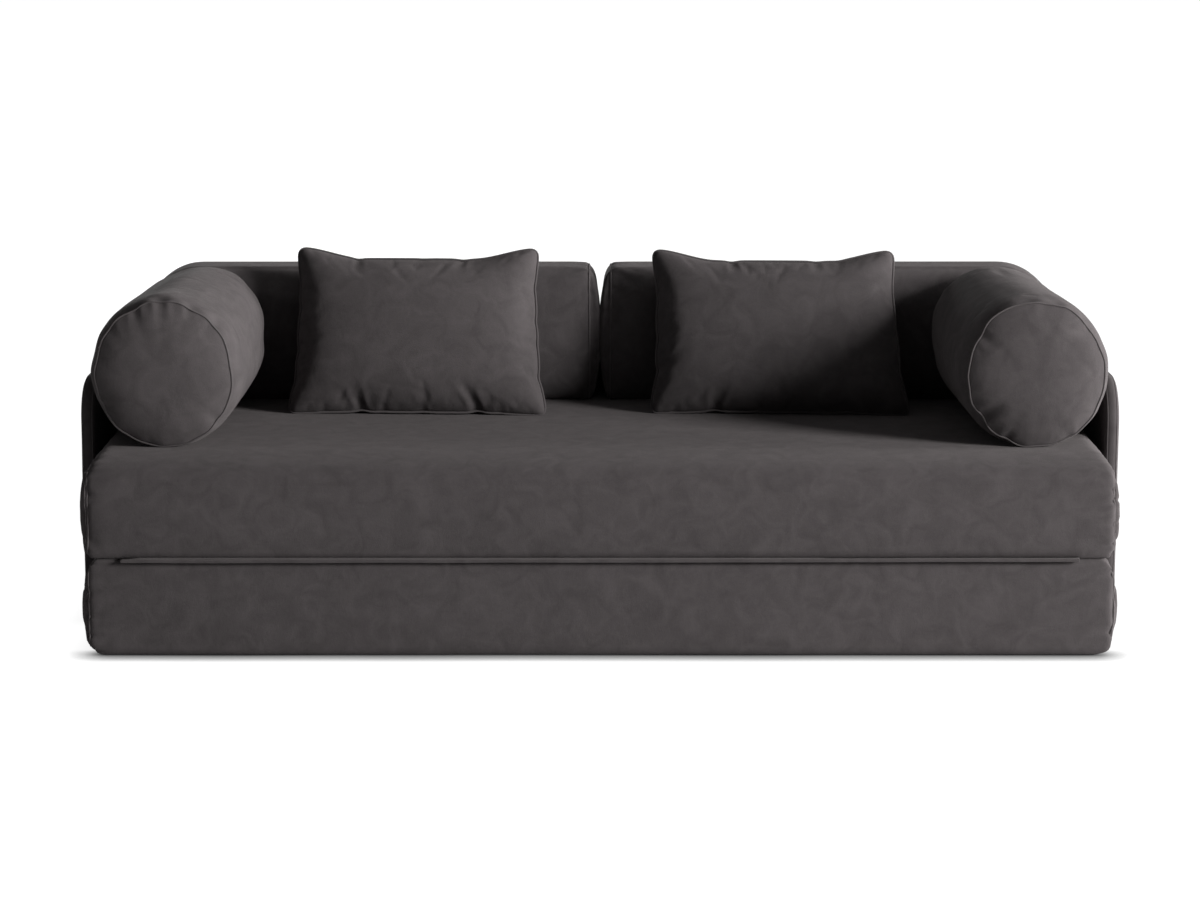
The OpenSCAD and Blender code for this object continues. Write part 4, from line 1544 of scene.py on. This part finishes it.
@dataclass
class InnerPieces:
    """The pieces that keep their solids and get a finish of their own."""

    finishes: dict[str, tuple[Finish, Slot]] = field(default_factory=lambda: {
        "core": (FOAM, Slot.FOAM),
        "roll": (FOAM, Slot.FOAM),
        "insert": (FIBRE, Slot.FIBRE),
        "board": (PLYWOOD, Slot.PLYWOOD),
        "brackets": (STEEL, Slot.STEEL),
        "screws": (STEEL, Slot.STEEL),
        "glides": (GLIDE_PLASTIC, Slot.GLIDE),
        "tape": (GRIP, Slot.GRIP),
        "zip": (ZIP_TEETH_X, Slot.ZIP),
    })

    def dress(self) -> None:
        """Gives each shown node the finish that its name asks for."""
        for name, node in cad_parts.items():
            if node.hide_render:
                continue
            word = next(word for word in self.finishes if word in name.split("_"))
            finish, slot = self.finishes[word]
            if name.startswith("bolster_zip"):
                finish = ZIP_TEETH_Y
            node.data.materials.clear()
            node.data.materials.append(finish.material())
            LOG.info("%s: finish %s", name, finish.name)


@dataclass
class Studio:
    """The floor, the lights and the camera."""

    target: Vector = vector_of(0.0, -0.05, 0.33)
    camera_at: Vector = vector_of(0.0, -6.841, 1.5195)
    tilt: float = math.radians(9.906)
    lens: float = 101.86
    key_way: Vector = vector_of(0.815, -0.485, 0.30)
    key_power: float = 930.0
    side_way: Vector = vector_of(1.0, 0.0, 0.11)
    side_power: float = 940.0
    rear_way: Vector = vector_of(-0.25, 0.97, 0.05)
    rear_power: float = 330.0
    lamp_distance: float = 8.0
    lamp_size: float = 2.2
    world_light: float = 0.085
    floor_size: float = 60.0
    floor_gap: float = 0.0005
    floor_white: float = 0.8
    floor_dim: float = 0.12
    shadow_reach: float = 0.050
    shadow_fade: float = 0.07
    shadow_powers: tuple[float, float] = (2.4, 0.2)
    sensor_width: float = 36.0
    sight: float = 200.0

    def build(self) -> None:
        """Makes the floor, the world, the lamps and the camera."""
        self.build_floor()
        self.build_world()
        self.build_lamp("key_light", self.key_way, self.key_power)
        self.build_lamp("side_light", self.side_way, self.side_power)
        self.build_lamp("rear_light", self.rear_way, self.rear_power)
        self.build_camera()

    def build_floor(self) -> None:
        """Lays a white floor that keeps the sofa's shadow."""
        bm = bmesh.new()
        bmesh.ops.create_grid(bm, x_segments=1, y_segments=1, size=self.floor_size / 2)
        floor = to_piece("floor", bm)
        floor.location.z = CAD_BOX[0].z - self.floor_gap
        material = bpy.data.materials.new("floor_white")
        material.use_nodes = True
        graph = Graph(material.node_tree)
        out = material.node_tree.nodes["Material Output"]
        paint = graph.add("ShaderNodeBsdfDiffuse", {"Color": rgba((self.floor_white,) * 3)})
        occlusion = graph.add("ShaderNodeAmbientOcclusion", {"Distance": self.shadow_reach}, samples=8)
        glow = graph.add("ShaderNodeEmission", {"Color": rgba((1.0,) * 3)})
        place = graph.add("ShaderNodeSeparateXYZ", {0: graph.add("ShaderNodeTexCoord").outputs["Object"]})
        start, (front, rear) = CAD_BOX[0].y, self.shadow_powers
        fade = {"Value": place.outputs["Y"], "From Min": start, "From Max": start + self.shadow_fade}
        power = graph.add("ShaderNodeMapRange", {**fade, "To Min": front, "To Max": rear}).outputs[0]
        graph.link(graph.maths("POWER", occlusion.outputs["AO"], power), glow.inputs["Strength"])
        dim = graph.add("ShaderNodeBsdfDiffuse", {"Color": rgba((self.floor_dim,) * 3)})
        seen = graph.add("ShaderNodeAddShader", {0: glow.outputs[0], 1: dim.outputs[0]})
        rays = graph.add("ShaderNodeLightPath")
        ways = {0: rays.outputs["Is Camera Ray"], 1: paint.outputs[0], 2: seen.outputs[0]}
        mixed = graph.add("ShaderNodeMixShader", ways)
        graph.link(mixed.outputs[0], out.inputs["Surface"])
        floor.data.materials.append(material)

    def build_world(self) -> None:
        """Makes a world that is white to the camera and in reflections, and dim as a light."""
        world = bpy.data.worlds.new("studio")
        world.use_nodes = True
        bpy.context.scene.world = world
        graph = Graph(world.node_tree)
        back = world.node_tree.nodes["Background"]
        set_inputs(back, {"Color": rgba((1.0,) * 3)})
        rays = graph.add("ShaderNodeLightPath")
        shown = graph.maths("MAXIMUM", rays.outputs["Is Camera Ray"], rays.outputs["Is Glossy Ray"])
        shown = graph.maths("MAXIMUM", shown, rays.outputs["Is Transmission Ray"])
        levels = {"Value": shown, "To Min": self.world_light, "To Max": 1.0}
        strength = graph.add("ShaderNodeMapRange", levels)
        graph.link(strength.outputs[0], back.inputs["Strength"])

    def build_lamp(self, name: str, way: Vector, power: float) -> None:
        """Hangs a square soft lamp that points at the sofa.

        Args:
            name: the lamp's name.
            way: the direction from the sofa to the lamp.
            power: its power in watts.
        """
        lamp = bpy.data.lights.new(name, "AREA")
        lamp.shape = "SQUARE"
        lamp.size = self.lamp_size
        lamp.energy = power
        holder = bpy.data.objects.new(name, lamp)
        holder.location = self.target + way.normalized() * self.lamp_distance
        holder.rotation_euler = (-way).to_track_quat("-Z", "Y").to_euler()
        bpy.context.scene.collection.objects.link(holder)

    def build_camera(self) -> None:
        """Places the camera at the photograph's viewpoint."""
        lens = bpy.data.cameras.new("camera")
        lens.lens = self.lens
        lens.sensor_width = self.sensor_width
        lens.clip_end = self.sight
        camera = bpy.data.objects.new("camera", lens)
        camera.location = self.camera_at
        camera.rotation_euler = (math.pi / 2 - self.tilt, 0.0, 0.0)
        bpy.context.scene.collection.objects.link(camera)
        scene = bpy.context.scene
        scene.camera = camera
        scene.view_settings.view_transform = "Standard"


def main() -> None:
    """Builds every sub-assembly, dresses the inner pieces and sets the studio."""
    logging.basicConfig(level=logging.INFO, format="%(name)s %(message)s")
    Studio().build()
    BASE_SLAB.build()
    SEAT_SLAB.build()
    FabricHinge().build()
    for side in Side:
        PaddedPanel(f"side_cover_{side.word}", Axis.X, front_corner_r=SIDE_CORNER_R).build()
        BackCushion(side).build()
        Bolster(side).build()
        ThrowPillow(side).build()
    PaddedPanel("back_panel_cover", Axis.Y).build()
    InnerPieces().dress()


if __name__ == "__main__":
    main()
